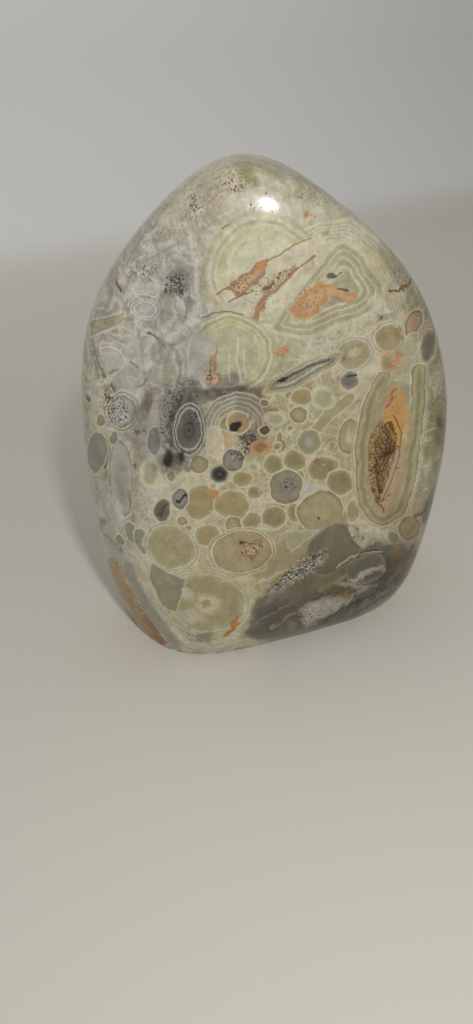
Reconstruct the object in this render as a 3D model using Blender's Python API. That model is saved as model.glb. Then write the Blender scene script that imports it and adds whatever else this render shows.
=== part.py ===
"""Onyx freeform: an upright onyx stone, ground to broad soft facets and polished all round.

It is sawn flat under its foot, and a small cavity in its broad face is lined with rough crystals.
Named sizes are in millimetres and degrees. The model is in metres, +Z up, the broad face towards -Y.
The origin is the middle of the stone's box, on the surface that it stands on.
"""
import bpy
import bmesh
import numpy as np
from math import cos, radians, sin
from mathutils import Euler, Matrix, Vector, noise

MM = 0.001

# The stone's heart is the point that its facets are measured from, this high above the sawn foot
HEART = Vector((-3.6, 1.3, 95.0))
# How crisp the ridges between facets are: a higher power gives narrower ridges
RIDGE_POWER = 12
# Each facet's outward direction (azimuth from -Y towards +X, elevation) and its distance from the heart
FACETS = {
    "front": (2, 2, 42),
    "front_left": (-54, 5, 67.5),
    "brow": (-26, 8, 49),
    "left_end": (-103, 6, 80.5),
    "upper_left": (-112, 43, 90),
    "crown": (-100, 76, 115.5),
    "crown_front": (-12, 65, 113.5),
    "upper_right": (74, 51, 85.5),
    "right_shoulder": (72, 20, 78),
    "right_end": (90, 0, 91),
    "front_right": (50, -7, 77),
    "right_foot": (50, -33, 106),
    "front_foot": (-2, -42, 88),
    "left_foot": (-50, -30, 101),
    "lower_left": (-86, -12, 87),
    "back": (184, 4, 36),
    "back_left": (-148, 9, 62),
    "back_right": (140, 4, 62),
    "back_top": (172, 38, 70),
    "back_foot": (180, -32, 74),
}
# The stone's skin is a cube's grid swelled out to the facets, with this many cells along an edge
SKIN_CELLS = 21
FOOT_BEVEL = 1.0

# The cavity: a teardrop, its long axis near upright, that opens through the broad face
CAVITY_PLACE = (29.9, 84.5)
CAVITY_DEPTH_TO_MIDDLE = 2.0
CAVITY_HALF = Vector((7.4, 11.5, 19.5))
CAVITY_LEAN = 4
# How much wider the teardrop's top is than its tail
CAVITY_TAPER = 0.42
CAVITY_ROUGHNESS = 0.10

# The crust of crystals that lines the cavity
CRUST_GAP = 0.5
CRUST_THICKNESS = Vector((1.7, 2.6, 2.2))
CRUST_INNER_SHIFT = Vector((0.7, 0.0, 0.6))
CRYSTAL_HEIGHT = 1.0
CRUST_SINK = 1.2

# Shallow rough pits in the face: middle (X and Z), half sizes, and how steeply the right end rises
PITS = {
    "strip": ((-10.0, 43.9), Vector((14.0, 1.4, 2.4)), 25),
    "broken_inclusion": ((-29.4, 59.9), Vector((4.0, 1.2, 2.8)), -15),
}
PIT_ROUGHNESS = 0.35

# Chips along the sawn rim: azimuth from the heart, and length along the rim
CHIPS = [(-74, 4.0), (-67, 5.4), (-60, 4.6), (-52, 6.2), (-44, 5.0), (-35, 6.0), (-26, 4.2)]
CHIP_ROUGHNESS = 0.2
CHIP_DEPTH = 1.1
CHIP_HEIGHT = 1.5
CHIP_LIFT = 0.37

# Colours from the stone, as linear red, green and blue
ONYX_COLOUR = (0.50, 0.49, 0.36)
CRUST_COLOUR = (0.22, 0.11, 0.04)


def clear_scene():
    """Remove what Blender starts with."""
    for thing in list(bpy.data.objects):
        bpy.data.objects.remove(thing, do_unlink=True)


def make_collection(name):
    """A new collection in the scene."""
    collection = bpy.data.collections.new(name)
    bpy.context.scene.collection.children.link(collection)
    return collection


def make_material(name, colour, roughness, coat=0.0):
    """A plain glossy or matt stone finish."""
    material = bpy.data.materials.new(name)
    material.use_nodes = True
    shader = material.node_tree.nodes["Principled BSDF"]
    shader.inputs["Base Color"].default_value = (*colour, 1.0)
    shader.inputs["Roughness"].default_value = roughness
    shader.inputs["Metallic"].default_value = 0.0
    shader.inputs["Coat Weight"].default_value = coat
    material.diffuse_color = (*colour, 1.0)
    return material


def make_object(name, bm, collection):
    """A mesh object from a bmesh, which is freed."""
    mesh = bpy.data.meshes.new(name)
    bm.to_mesh(mesh)
    bm.free()
    thing = bpy.data.objects.new(name, mesh)
    collection.objects.link(thing)
    return thing


def make_cutter(name, bm, collection):
    """A mesh that only shapes another: shown as wire and never rendered."""
    thing = make_object(name, bm, collection)
    thing.hide_render = True
    thing.display_type = "WIRE"
    return thing


def cut(target, cutter):
    """Cut a piece with a cutter."""
    modifier = target.modifiers.new(cutter.name, "BOOLEAN")
    modifier.operation = "DIFFERENCE"
    modifier.solver = "EXACT"
    modifier.object = cutter


def outward(azimuth, elevation):
    """Unit direction from an azimuth, counted from -Y towards +X, and an elevation."""
    azimuth = radians(azimuth)
    elevation = radians(elevation)
    return (sin(azimuth) * cos(elevation), -cos(azimuth) * cos(elevation), sin(elevation))


def skin_radius(directions):
    """Distance in millimetres from the heart to the polished skin, along each unit direction."""
    normals = np.array([outward(azimuth, elevation) for azimuth, elevation, distance in FACETS.values()])
    distances = np.array([distance for azimuth, elevation, distance in FACETS.values()])
    nearness = np.maximum(directions @ normals.T, 0.0) / distances
    return (nearness ** RIDGE_POWER).sum(axis=1) ** (-1.0 / RIDGE_POWER)


def cube_grid(cells):
    """A cube from -1 to 1 whose faces are grids of even angle, seen from its middle."""
    bm = bmesh.new()
    bmesh.ops.create_cube(bm, size=2.0)
    bmesh.ops.subdivide_edges(bm, edges=bm.edges[:], cuts=cells - 1, use_grid_fill=True)
    for vert in bm.verts:
        vert.co = Vector([np.tan(value * np.pi / 4) for value in vert.co])
    return bm


def saw_foot(bm):
    """Cut the skin flat at its foot, close it there and ease the sawn rim."""
    everything = bm.verts[:] + bm.edges[:] + bm.faces[:]
    bmesh.ops.bisect_plane(bm, geom=everything, plane_co=(0, 0, 0), plane_no=(0, 0, 1), clear_inner=True)
    bmesh.ops.remove_doubles(bm, verts=[v for v in bm.verts if v.co.z < 1e-6], dist=0.0012)
    open_edges = [edge for edge in bm.edges if edge.is_boundary]
    foot = bmesh.ops.edgeloop_fill(bm, edges=open_edges)["faces"]
    rim = list({edge for face in foot for edge in face.edges})
    bmesh.ops.bevel(bm, geom=rim, offset=FOOT_BEVEL * MM, segments=1, profile=0.5,
                    affect="EDGES", clamp_overlap=True)
    bmesh.ops.triangulate(bm, faces=bm.faces[:])


def to_skin(inside, way, farthest=150.0):
    """Where a line from a point inside the stone meets the polished skin, in millimetres."""
    near = 0.0
    far = farthest
    for step in range(40):
        middle = (near + far) / 2
        place = inside + way * middle - HEART
        if place.length < skin_radius(np.array([place.normalized()]))[0]:
            near = middle
        else:
            far = middle
    return inside + way * near


def on_face(across, height):
    """The point of the broad face at this X and Z."""
    return to_skin(Vector((across, HEART.y, height)), Vector((0, -1, 0)))


def teardrop(half, crystals=0.0):
    """A rough teardrop lump around its own middle, its tail down."""
    bm = bmesh.new()
    bmesh.ops.create_icosphere(bm, subdivisions=4, radius=1.0)
    for vert in bm.verts:
        way = vert.co.normalized()
        swell = 1.0 + CAVITY_ROUGHNESS * noise.noise(way * 2.3 + Vector((5.0, 1.0, 9.0)))
        taper = 1.0 + CAVITY_TAPER * way.z
        point = Vector((way.x * half.x * taper, way.y * half.y, way.z * half.z)) * swell
        point -= way * crystals * noise.cell(way * 9.0)
        vert.co = point * MM
    return bm


def place_in_cavity(bm, shift=Vector((0, 0, 0))):
    """Turn a lump as the cavity leans and move it to the cavity's middle."""
    middle = on_face(*CAVITY_PLACE) + Vector((0, CAVITY_DEPTH_TO_MIDDLE, 0))
    turn = Matrix.Rotation(radians(CAVITY_LEAN), 4, "Y")
    bmesh.ops.transform(bm, matrix=turn, verts=bm.verts[:])
    bmesh.ops.translate(bm, vec=(middle + shift) * MM, verts=bm.verts[:])
    return bm


def add_lump(bm, centre, half, turn, roughness, subdivisions):
    """One small irregular lump in a cutter's mesh."""
    made = bmesh.ops.create_icosphere(bm, subdivisions=subdivisions, radius=1.0)["verts"]
    matrix = Matrix.LocRotScale(centre * MM, turn, half * MM)
    for vert in made:
        bump = noise.noise(vert.co * half * 0.45 + centre)
        vert.co *= 1.0 + roughness * bump
        vert.co = matrix @ vert.co


def pit_cutter(collection):
    """The shallow pits of the broad face."""
    bm = bmesh.new()
    for place, half, rise in PITS.values():
        add_lump(bm, on_face(*place), half, Euler((0, -radians(rise), 0)), PIT_ROUGHNESS, 3)
    return make_cutter("pit_cutter", bm, collection)


def chip_cutter(collection):
    """The chips along the front left of the sawn rim, none touching the next."""
    bm = bmesh.new()
    under_heart = Vector((HEART.x, HEART.y, CHIP_LIFT))
    for azimuth, length in CHIPS:
        place = to_skin(under_heart, Vector(outward(azimuth, 0)))
        half = Vector((length / 2, CHIP_DEPTH, CHIP_HEIGHT))
        add_lump(bm, place, half, Euler((0, 0, radians(azimuth + 20))), CHIP_ROUGHNESS, 2)
    return make_cutter("chip_cutter", bm, collection)


def make_stone(collection, cutters):
    """The polished stone with its sawn foot, cavity, pits and chips."""
    bm = cube_grid(SKIN_CELLS)
    directions = np.array([vert.co.normalized() for vert in bm.verts])
    for vert, direction, radius in zip(bm.verts, directions, skin_radius(directions)):
        vert.co = (HEART + Vector(direction) * radius) * MM
    saw_foot(bm)
    bmesh.ops.recalc_face_normals(bm, faces=bm.faces[:])
    stone = make_object("stone", bm, collection)
    cavity = make_cutter("cavity_cutter", place_in_cavity(teardrop(CAVITY_HALF)), cutters)
    cut(stone, cavity)
    cut(stone, pit_cutter(cutters))
    cut(stone, chip_cutter(cutters))
    stone.data.materials.append(make_material("polished_onyx", ONYX_COLOUR, 0.14, 0.6))
    stone.data.shade_smooth()
    stone.data.set_sharp_from_angle(angle=radians(35))
    return stone


def crust_trim_cutter(collection):
    """A block in front of the broad face, so that the crust's rim stays below the polish."""
    bm = bmesh.new()
    bmesh.ops.create_cube(bm, size=2.0)
    half = Vector((CAVITY_HALF.z, CAVITY_HALF.y, CAVITY_HALF.z)) * 1.5
    azimuth, elevation, distance = FACETS["front"]
    middle = on_face(*CAVITY_PLACE) + Vector((0, CRUST_SINK - half.y, 0))
    lean = Euler((-radians(elevation), 0, radians(azimuth)))
    bmesh.ops.transform(bm, matrix=Matrix.LocRotScale(middle * MM, lean, half * MM), verts=bm.verts[:])
    return make_cutter("crust_trim_cutter", bm, collection)


def make_crust(collection, cutters):
    """The crust of brown crystals against the cavity's wall, open towards the face."""
    outer_half = CAVITY_HALF - Vector((CRUST_GAP, CRUST_GAP, CRUST_GAP))
    crust = make_object("vug_crust", place_in_cavity(teardrop(outer_half)), collection)
    inner = place_in_cavity(teardrop(outer_half - CRUST_THICKNESS, CRYSTAL_HEIGHT), CRUST_INNER_SHIFT)
    cut(crust, crust_trim_cutter(cutters))
    cut(crust, make_cutter("crust_hollow_cutter", inner, cutters))
    crust.data.materials.append(make_material("brown_crystals", CRUST_COLOUR, 0.7))
    return crust


clear_scene()
parts = make_collection("onyx_freeform")
cutters = make_collection("cutters")
make_stone(parts, cutters)
make_crust(parts, cutters)
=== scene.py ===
"""Looks of the onyx freeform: the polished stone with its cells, bands and veins, and the crystal crust.

Named sizes are in millimetres and degrees unless they say otherwise; objects are in metres, +Z up.
Places on the stone's front are pixels of the 473 x 1024 photograph, laid on the stone from its viewpoint.
"""
from math import atan2, cos, degrees, hypot, radians, sin

import bmesh
import bpy
import numpy as np
from mathutils import Euler, Matrix, Vector, noise


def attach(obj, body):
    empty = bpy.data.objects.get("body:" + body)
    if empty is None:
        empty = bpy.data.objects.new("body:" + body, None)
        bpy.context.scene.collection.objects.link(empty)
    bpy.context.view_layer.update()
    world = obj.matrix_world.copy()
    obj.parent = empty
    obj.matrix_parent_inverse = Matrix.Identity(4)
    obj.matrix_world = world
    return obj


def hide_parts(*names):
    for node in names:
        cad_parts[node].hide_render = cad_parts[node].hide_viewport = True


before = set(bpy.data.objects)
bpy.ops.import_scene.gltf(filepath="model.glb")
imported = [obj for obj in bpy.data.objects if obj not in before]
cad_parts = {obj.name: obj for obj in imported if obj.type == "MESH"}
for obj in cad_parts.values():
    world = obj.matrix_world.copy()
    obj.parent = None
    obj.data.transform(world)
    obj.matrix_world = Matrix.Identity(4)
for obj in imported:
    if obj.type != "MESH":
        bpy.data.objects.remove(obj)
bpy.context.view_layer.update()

MM = 0.001

# The stone, as in the model: heart, crispness of ridges, and facets by azimuth, elevation and distance
HEART = Vector((-3.6, 1.3, 95.0))
RIDGE_POWER = 12
FACETS = {
    "front": (2, 2, 42),
    "front_left": (-54, 5, 67.5),
    "brow": (-26, 8, 49),
    "left_end": (-103, 6, 80.5),
    "upper_left": (-112, 43, 90),
    "crown": (-100, 76, 115.5),
    "crown_front": (-12, 65, 113.5),
    "upper_right": (74, 51, 85.5),
    "right_shoulder": (72, 20, 78),
    "right_end": (90, 0, 91),
    "front_right": (50, -7, 77),
    "right_foot": (50, -33, 106),
    "front_foot": (-2, -42, 88),
    "left_foot": (-50, -30, 101),
    "lower_left": (-86, -12, 87),
    "back": (184, 4, 36),
    "back_left": (-148, 9, 62),
    "back_right": (140, 4, 62),
    "back_top": (172, 38, 70),
    "back_foot": (180, -32, 74),
}
SKIN_CELLS = 90
SHARP_ANGLE = 35
FOOT_BEVEL = 0.8
# In metres: what counts as level with the foot, and how close two of its corners may lie
FOOT_LEVEL = 1e-6
FOOT_MERGE = 0.0006
# How often the search for the skin along a line is halved
HALVINGS = 40
# The fine skin is drawn in by this much, so that it stays inside the model's box
SKIN_DRAW_IN = 0.1

# The cavity: a teardrop, its long axis near upright, that opens through the broad face
CAVITY_PLACE = (29.9, 84.5)
CAVITY_DEPTH_TO_MIDDLE = 2.0
CAVITY_HALF = Vector((7.4, 11.5, 19.5))
CAVITY_LEAN = 4
CAVITY_TAPER = 0.42
CAVITY_ROUGHNESS = 0.10
CAVITY_SWELLS = 2.3
CAVITY_SWELLS_SHIFT = Vector((5.0, 1.0, 9.0))

# The crust of crystals that lines the cavity
CRUST_GAP = 0.15
CRUST_THICKNESS = Vector((1.9, 2.8, 2.4))
CRUST_INNER_SHIFT = Vector((0.7, 0.0, 0.6))
CRUST_SINK = 0.7
CRYSTAL_HEIGHT = 1.5
# Half the block that trims the crust, in parts of the cavity's half size
TRIM_BLOCK_SIZE = 1.5
# Coarse and fine crystals: their spacing and their share of the height, and how steep their sides are
COARSE_CRYSTALS = (1.7, 0.65)
FINE_CRYSTALS = (0.8, 0.35)
FINE_CRYSTALS_SHIFT = Vector((3.1, 7.7, 1.3))
CRYSTAL_STEEPNESS = 1.2

# Shallow rough pits in the face: middle (X and Z), half sizes, and how steeply the right end rises
PITS = {
    "strip": ((-10.0, 43.9), Vector((14.0, 1.3, 2.3)), 25),
    "broken_inclusion": ((-29.4, 59.9), Vector((4.0, 1.2, 2.8)), -15),
}
PIT_ROUGHNESS = 0.5
# Bumps for each millimetre of a pit or chip, coarse and fine, and how strong the fine ones are
BUMPS = (0.45, 1.7)
FINE_BUMP_SHARE = 0.35

# Chips along the sawn rim: azimuth from the heart, and length along the rim
CHIPS = [(-74, 4.0), (-67, 5.4), (-60, 4.6), (-52, 6.2), (-44, 5.0), (-35, 6.0), (-26, 4.2)]
CHIP_ROUGHNESS = 0.45
CHIP_DEPTH = 1.1
CHIP_HEIGHT = 1.5
CHIP_LIFT = 0.37
CHIP_TURN = 20

# The photograph's viewpoint: metres, heading from +Y towards +X, pitch, roll, and focal length in pixels
VIEW_PLACE = Vector((-0.1231, -0.2825, 0.2265))
VIEW_HEADING = 20.0
VIEW_PITCH = -30.0
VIEW_ROLL = -2.9
VIEW_FOCAL = 770.0
PHOTO_WIDTH = 473
PHOTO_HEIGHT = 1024
CAMERA_SENSOR = 36.0
CAMERA_CLIP = (0.01, 20.0)

# The room: where the floor turns up into the backdrop, and the lights in metres and watts
BACKDROP_PLACE = (-118.0, 900.0)
BACKDROP_TURN = 8.5
BACKDROP_BEND = 250.0
BEND_STEPS = 12
BACKDROP_HEIGHT = 1400.0
FLOOR_DEPTH = 1200.0
STAGE_HALF_WIDTH = 2500.0
KEY_PLACE = Vector((-0.083, -0.425, 0.395))
KEY_AIM = Vector((-0.014, -0.03, 0.12))
KEY_SIZE = 0.038
KEY_POWER = 1.25
WALL_LIGHT_PLACE = Vector((-0.20, 0.60, 0.60))
WALL_LIGHT_AIM = Vector((-0.20, 0.92, 0.06))
WALL_LIGHT_SIZE = (1.8, 0.3)
WALL_LIGHT_POWER = 1.0
ROOM_LIGHT = 0.35
ROOM_COLOUR = (1.0, 0.99, 0.97, 1.0)
FLOOR_COLOUR = (0.71, 0.68, 0.60, 1.0)
BACKDROP_COLOUR = (0.86, 0.855, 0.84, 1.0)
STAGE_ROUGHNESS = 0.7
# In metres: how high up the sweep the floor's colour has turned into the backdrop's
COLOUR_TURNS_BY = 0.05


def outward(azimuth, elevation):
    """Unit direction from an azimuth, counted from -Y towards +X, and an elevation."""
    azimuth = radians(azimuth)
    elevation = radians(elevation)
    return (sin(azimuth) * cos(elevation), -cos(azimuth) * cos(elevation), sin(elevation))


def skin_radius(directions):
    """Distance in millimetres from the heart to the polished skin, along each unit direction."""
    normals = np.array([outward(azimuth, elevation) for azimuth, elevation, distance in FACETS.values()])
    distances = np.array([distance for azimuth, elevation, distance in FACETS.values()])
    nearness = np.maximum(directions @ normals.T, 0.0) / distances
    return (nearness ** RIDGE_POWER).sum(axis=1) ** (-1.0 / RIDGE_POWER)


def to_skin(inside, way, farthest=150.0):
    """Where a line from a point inside the stone meets the polished skin, in millimetres."""
    near = 0.0
    far = farthest
    for step in range(HALVINGS):
        middle = (near + far) / 2
        place = inside + way * middle - HEART
        if place.length < skin_radius(np.array([place.normalized()]))[0]:
            near = middle
        else:
            far = middle
    return inside + way * near


def on_face(across, height):
    """The point of the broad face at this X and Z."""
    return to_skin(Vector((across, HEART.y, height)), Vector((0, -1, 0)))


def view_axes():
    """Forward, right and up of the photograph's viewpoint."""
    heading = radians(VIEW_HEADING)
    pitch = radians(VIEW_PITCH)
    roll = radians(VIEW_ROLL)
    forward = Vector((sin(heading) * cos(pitch), cos(heading) * cos(pitch), sin(pitch)))
    level = Vector((cos(heading), -sin(heading), 0.0))
    upright = level.cross(forward)
    right = level * cos(roll) + upright * sin(roll)
    up = upright * cos(roll) - level * sin(roll)
    return forward, right, up


# Meshes

def make_object(name, bm):
    """A mesh object from a bmesh, which is freed."""
    mesh = bpy.data.meshes.new(name)
    bm.to_mesh(mesh)
    bm.free()
    thing = bpy.data.objects.new(name, mesh)
    bpy.context.scene.collection.objects.link(thing)
    return thing


def cut(target, *cutters):
    """Cut the cutters from the target for good, and remove them."""
    for cutter in cutters:
        modifier = target.modifiers.new(cutter.name, "BOOLEAN")
        modifier.operation = "DIFFERENCE"
        modifier.solver = "EXACT"
        modifier.object = cutter
    graph = bpy.context.evaluated_depsgraph_get()
    mesh = bpy.data.meshes.new_from_object(target.evaluated_get(graph))
    target.modifiers.clear()
    old = target.data
    target.data = mesh
    bpy.data.meshes.remove(old)
    for cutter in cutters:
        shape = cutter.data
        bpy.data.objects.remove(cutter, do_unlink=True)
        bpy.data.meshes.remove(shape)


def cube_grid(cells):
    """A cube from -1 to 1 whose faces are grids of even angle, seen from its middle."""
    bm = bmesh.new()
    bmesh.ops.create_cube(bm, size=2.0)
    bmesh.ops.subdivide_edges(bm, edges=bm.edges[:], cuts=cells - 1, use_grid_fill=True)
    for vert in bm.verts:
        vert.co = Vector([np.tan(value * np.pi / 4) for value in vert.co])
    return bm


def saw_foot(bm):
    """Cut the skin flat at its foot, close it there and ease the sawn rim."""
    everything = bm.verts[:] + bm.edges[:] + bm.faces[:]
    bmesh.ops.bisect_plane(bm, geom=everything, plane_co=(0, 0, 0), plane_no=(0, 0, 1), clear_inner=True)
    bmesh.ops.remove_doubles(bm, verts=[v for v in bm.verts if v.co.z < FOOT_LEVEL], dist=FOOT_MERGE)
    open_edges = [edge for edge in bm.edges if edge.is_boundary]
    foot = bmesh.ops.edgeloop_fill(bm, edges=open_edges)["faces"]
    rim = list({edge for face in foot for edge in face.edges})
    bmesh.ops.bevel(bm, geom=rim, offset=FOOT_BEVEL * MM, segments=1, profile=0.5,
                    affect="EDGES", clamp_overlap=True)
    bmesh.ops.triangulate(bm, faces=bm.faces[:])


def crystal_height(point):
    """Height from 0 to 1 of a crust of small flat-sided crystals, two sizes mixed."""
    height = 0.0
    for (spacing, share), shift in ((COARSE_CRYSTALS, Vector()), (FINE_CRYSTALS, FINE_CRYSTALS_SHIFT)):
        away = noise.voronoi(point / spacing + shift)[0][0]
        height += share * max(1.0 - CRYSTAL_STEEPNESS * away, 0.0)
    return height


def teardrop(name, half, subdivisions, shift=Vector((0, 0, 0)), crystals=0.0):
    """A rough teardrop lump in the cavity's place, its tail down, drawn in where crystals stand."""
    bm = bmesh.new()
    bmesh.ops.create_icosphere(bm, subdivisions=subdivisions, radius=1.0)
    for vert in bm.verts:
        way = vert.co.normalized()
        swell = 1.0 + CAVITY_ROUGHNESS * noise.noise(way * CAVITY_SWELLS + CAVITY_SWELLS_SHIFT)
        taper = 1.0 + CAVITY_TAPER * way.z
        point = Vector((way.x * half.x * taper, way.y * half.y, way.z * half.z)) * swell
        if crystals:
            point -= way * crystals * crystal_height(point)
        vert.co = point * MM
    middle = on_face(*CAVITY_PLACE) + Vector((0, CAVITY_DEPTH_TO_MIDDLE, 0)) + shift
    turn = Matrix.Rotation(radians(CAVITY_LEAN), 4, "Y")
    bmesh.ops.transform(bm, matrix=Matrix.Translation(middle * MM) @ turn, verts=bm.verts[:])
    return make_object(name, bm)


def lump(name, centre, half, turn, roughness, subdivisions):
    """One small irregular lump, ragged at two sizes."""
    bm = bmesh.new()
    bmesh.ops.create_icosphere(bm, subdivisions=subdivisions, radius=1.0)
    matrix = Matrix.LocRotScale(centre * MM, turn, half * MM)
    for vert in bm.verts:
        place = vert.co * half
        coarse, fine = (noise.noise(place * often + centre) for often in BUMPS)
        bump = coarse + FINE_BUMP_SHARE * fine
        vert.co = matrix @ (vert.co * (1.0 + roughness * bump))
    return make_object(name, bm)


def pit_cutters():
    """The shallow rough pits of the broad face."""
    for name, (place, half, rise) in PITS.items():
        turn = Euler((0, -radians(rise), 0))
        yield lump(name, on_face(*place), half, turn, PIT_ROUGHNESS, 5)


def chip_cutters():
    """The chips along the front left of the sawn rim, none touching the next."""
    under_heart = Vector((HEART.x, HEART.y, CHIP_LIFT))
    for azimuth, length in CHIPS:
        place = to_skin(under_heart, Vector(outward(azimuth, 0)))
        half = Vector((length / 2, CHIP_DEPTH, CHIP_HEIGHT))
        turn = Euler((0, 0, radians(azimuth + CHIP_TURN)))
        yield lump("chip", place, half, turn, CHIP_ROUGHNESS, 4)


def polished_stone():
    """The stone: its fine skin, sawn foot, cavity, pits and chips."""
    bm = cube_grid(SKIN_CELLS)
    directions = np.array([vert.co.normalized() for vert in bm.verts])
    for vert, direction, radius in zip(bm.verts, directions, skin_radius(directions)):
        vert.co = (HEART + Vector(direction) * (radius - SKIN_DRAW_IN)) * MM
    saw_foot(bm)
    bmesh.ops.recalc_face_normals(bm, faces=bm.faces[:])
    stone = make_object("onyx_stone", bm)
    cut(stone, teardrop("cavity", CAVITY_HALF, 5))
    cut(stone, *pit_cutters())
    cut(stone, *chip_cutters())
    stone.data.shade_smooth()
    stone.data.set_sharp_from_angle(angle=radians(SHARP_ANGLE))
    return stone


def trim_block():
    """A block in front of the broad face, so that the crust's rim stays below the polish."""
    bm = bmesh.new()
    bmesh.ops.create_cube(bm, size=2.0)
    half = Vector((CAVITY_HALF.z, CAVITY_HALF.y, CAVITY_HALF.z)) * TRIM_BLOCK_SIZE
    azimuth, elevation = FACETS["front"][:2]
    middle = on_face(*CAVITY_PLACE) + Vector((0, CRUST_SINK - half.y, 0))
    lean = Euler((-radians(elevation), 0, radians(azimuth)))
    bmesh.ops.transform(bm, matrix=Matrix.LocRotScale(middle * MM, lean, half * MM), verts=bm.verts[:])
    return make_object("trim_block", bm)


def crystal_crust():
    """The crust of crystals against the cavity's wall, open towards the face."""
    outer_half = CAVITY_HALF - Vector((CRUST_GAP, CRUST_GAP, CRUST_GAP))
    crust = teardrop("crystal_crust", outer_half, 5)
    cut(crust, trim_block())
    hollow_half = outer_half - CRUST_THICKNESS
    cut(crust, teardrop("hollow", hollow_half, 6, CRUST_INNER_SHIFT, CRYSTAL_HEIGHT))
    return crust


def stage_sweep():
    """A floor that bends up into a plain backdrop behind the stone."""
    profile = [(-FLOOR_DEPTH, 0.0), (-BACKDROP_BEND, 0.0)]
    for step in range(1, BEND_STEPS + 1):
        angle = radians(90 * step / BEND_STEPS)
        profile.append((BACKDROP_BEND * (sin(angle) - 1), BACKDROP_BEND * (1 - cos(angle))))
    profile.append((0.0, BACKDROP_HEIGHT))
    bm = bmesh.new()
    left, right = ([bm.verts.new((side * MM, depth * MM, height * MM)) for depth, height in profile]
                   for side in (-STAGE_HALF_WIDTH, STAGE_HALF_WIDTH))
    for index in range(len(profile) - 1):
        bm.faces.new((left[index], right[index], right[index + 1], left[index + 1]))
    stage = make_object("stage_floor_and_backdrop", bm)
    stage.location = (BACKDROP_PLACE[0] * MM, BACKDROP_PLACE[1] * MM, 0)
    stage.rotation_euler = (0, 0, radians(BACKDROP_TURN))
    stage.data.shade_smooth()
    return stage


# Camera and lights

def add_camera():
    """The camera at the photograph's viewpoint."""
    forward, right, up = view_axes()
    camera = bpy.data.objects.new("camera", bpy.data.cameras.new("camera"))
    bpy.context.scene.collection.objects.link(camera)
    axes = Matrix((right, up, -forward)).transposed()
    camera.matrix_world = Matrix.Translation(VIEW_PLACE) @ axes.to_4x4()
    camera.data.sensor_width = CAMERA_SENSOR
    camera.data.lens = VIEW_FOCAL * CAMERA_SENSOR / PHOTO_HEIGHT
    camera.data.clip_start, camera.data.clip_end = CAMERA_CLIP
    bpy.context.scene.camera = camera


def add_lamp(name, place, aim, power):
    """A lamp that shines from a place towards another."""
    lamp = bpy.data.lights.new(name, "AREA")
    lamp.energy = power
    thing = bpy.data.objects.new(name, lamp)
    thing.location = place
    thing.rotation_euler = (aim - place).to_track_quat("-Z", "Y").to_euler()
    bpy.context.scene.collection.objects.link(thing)
    return lamp


def add_lights():
    """A small soft key above the camera, a wide lamp on the backdrop, and an even room light."""
    key = add_lamp("key", KEY_PLACE, KEY_AIM, KEY_POWER)
    key.shape = "DISK"
    key.size = KEY_SIZE
    wash = add_lamp("wall light", WALL_LIGHT_PLACE, WALL_LIGHT_AIM, WALL_LIGHT_POWER)
    wash.shape = "RECTANGLE"
    wash.size, wash.size_y = WALL_LIGHT_SIZE
    world = bpy.data.worlds.new("room")
    bpy.context.scene.world = world
    world.use_nodes = True
    background = world.node_tree.nodes["Background"]
    background.inputs["Color"].default_value = ROOM_COLOUR
    background.inputs["Strength"].default_value = ROOM_LIGHT
    bpy.context.scene.view_settings.view_transform = "Standard"


# Painting with shader nodes

# Finishes of the onyx as red, green and blue from 0 to 255, on neutral light
TONES = {
    "white": (214, 210, 196),
    "cream": (201, 194, 168),
    "warm_cream": (203, 190, 154),
    "silver": (189, 187, 177),
    "straw": (180, 169, 127),
    "celadon": (182, 178, 148),
    "green_cream": (206, 203, 176),
    "yellow_green": (198, 192, 150),
    "olive": (166, 158, 122),
    "deep_olive": (142, 134, 98),
    "moss": (118, 114, 94),
    "grey_green": (145, 143, 120),
    "sage": (172, 168, 138),
    "tan": (162, 146, 108),
    "brown_grey": (134, 122, 100),
    "smoke": (104, 96, 80),
    "pale_grey": (176, 174, 162),
    "mid_grey": (146, 143, 131),
    "slate": (118, 115, 106),
    "charcoal": (88, 84, 78),
    "black": (38, 34, 31),
    "peach": (192, 158, 116),
    "gold": (198, 153, 92),
    "clay": (152, 121, 82),
    "pink": (186, 160, 130),
    "orange": (186, 133, 80),
    "rust": (153, 106, 70),
    "honey": (160, 126, 70),
    "amber": (176, 122, 34),
    "umber": (108, 78, 52),
    "brown": (92, 62, 40),
}


def tone(name, cover=1.0):
    """A named finish as linear red, green, blue and cover."""
    return (*(((part / 255 + 0.055) / 1.055) ** 2.4 for part in TONES[name]), cover)


# What a layer of paint works from: places, noises, and the colour and dullness painted so far
LAYER_SOCKETS = dict.fromkeys(("mm", "front", "frayed", "back", "stirred_mm"), "NodeSocketVector")
LAYER_SOCKETS |= dict.fromkeys(("broken", "dark_grit", "light_grit", "level", "mottle", "cloud", "vein",
                                "orb_ratio", "orb_kind"), "NodeSocketFloat")
LAYER_SOCKETS |= {"colour": "NodeSocketColor", "matt": "NodeSocketFloat"}

# How sharply an arc ends, in parts of its radius
ARC_EASING = 0.08
# Round cells that run through the stone: from where to where their body and rim fade in, and how far
ORB_BODY = (0.97, 0.88, 0.9)
ORB_RIM_INNER = (0.87, 0.93, 0.85)
ORB_RIM_OUTER = (1.06, 0.99)


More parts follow.
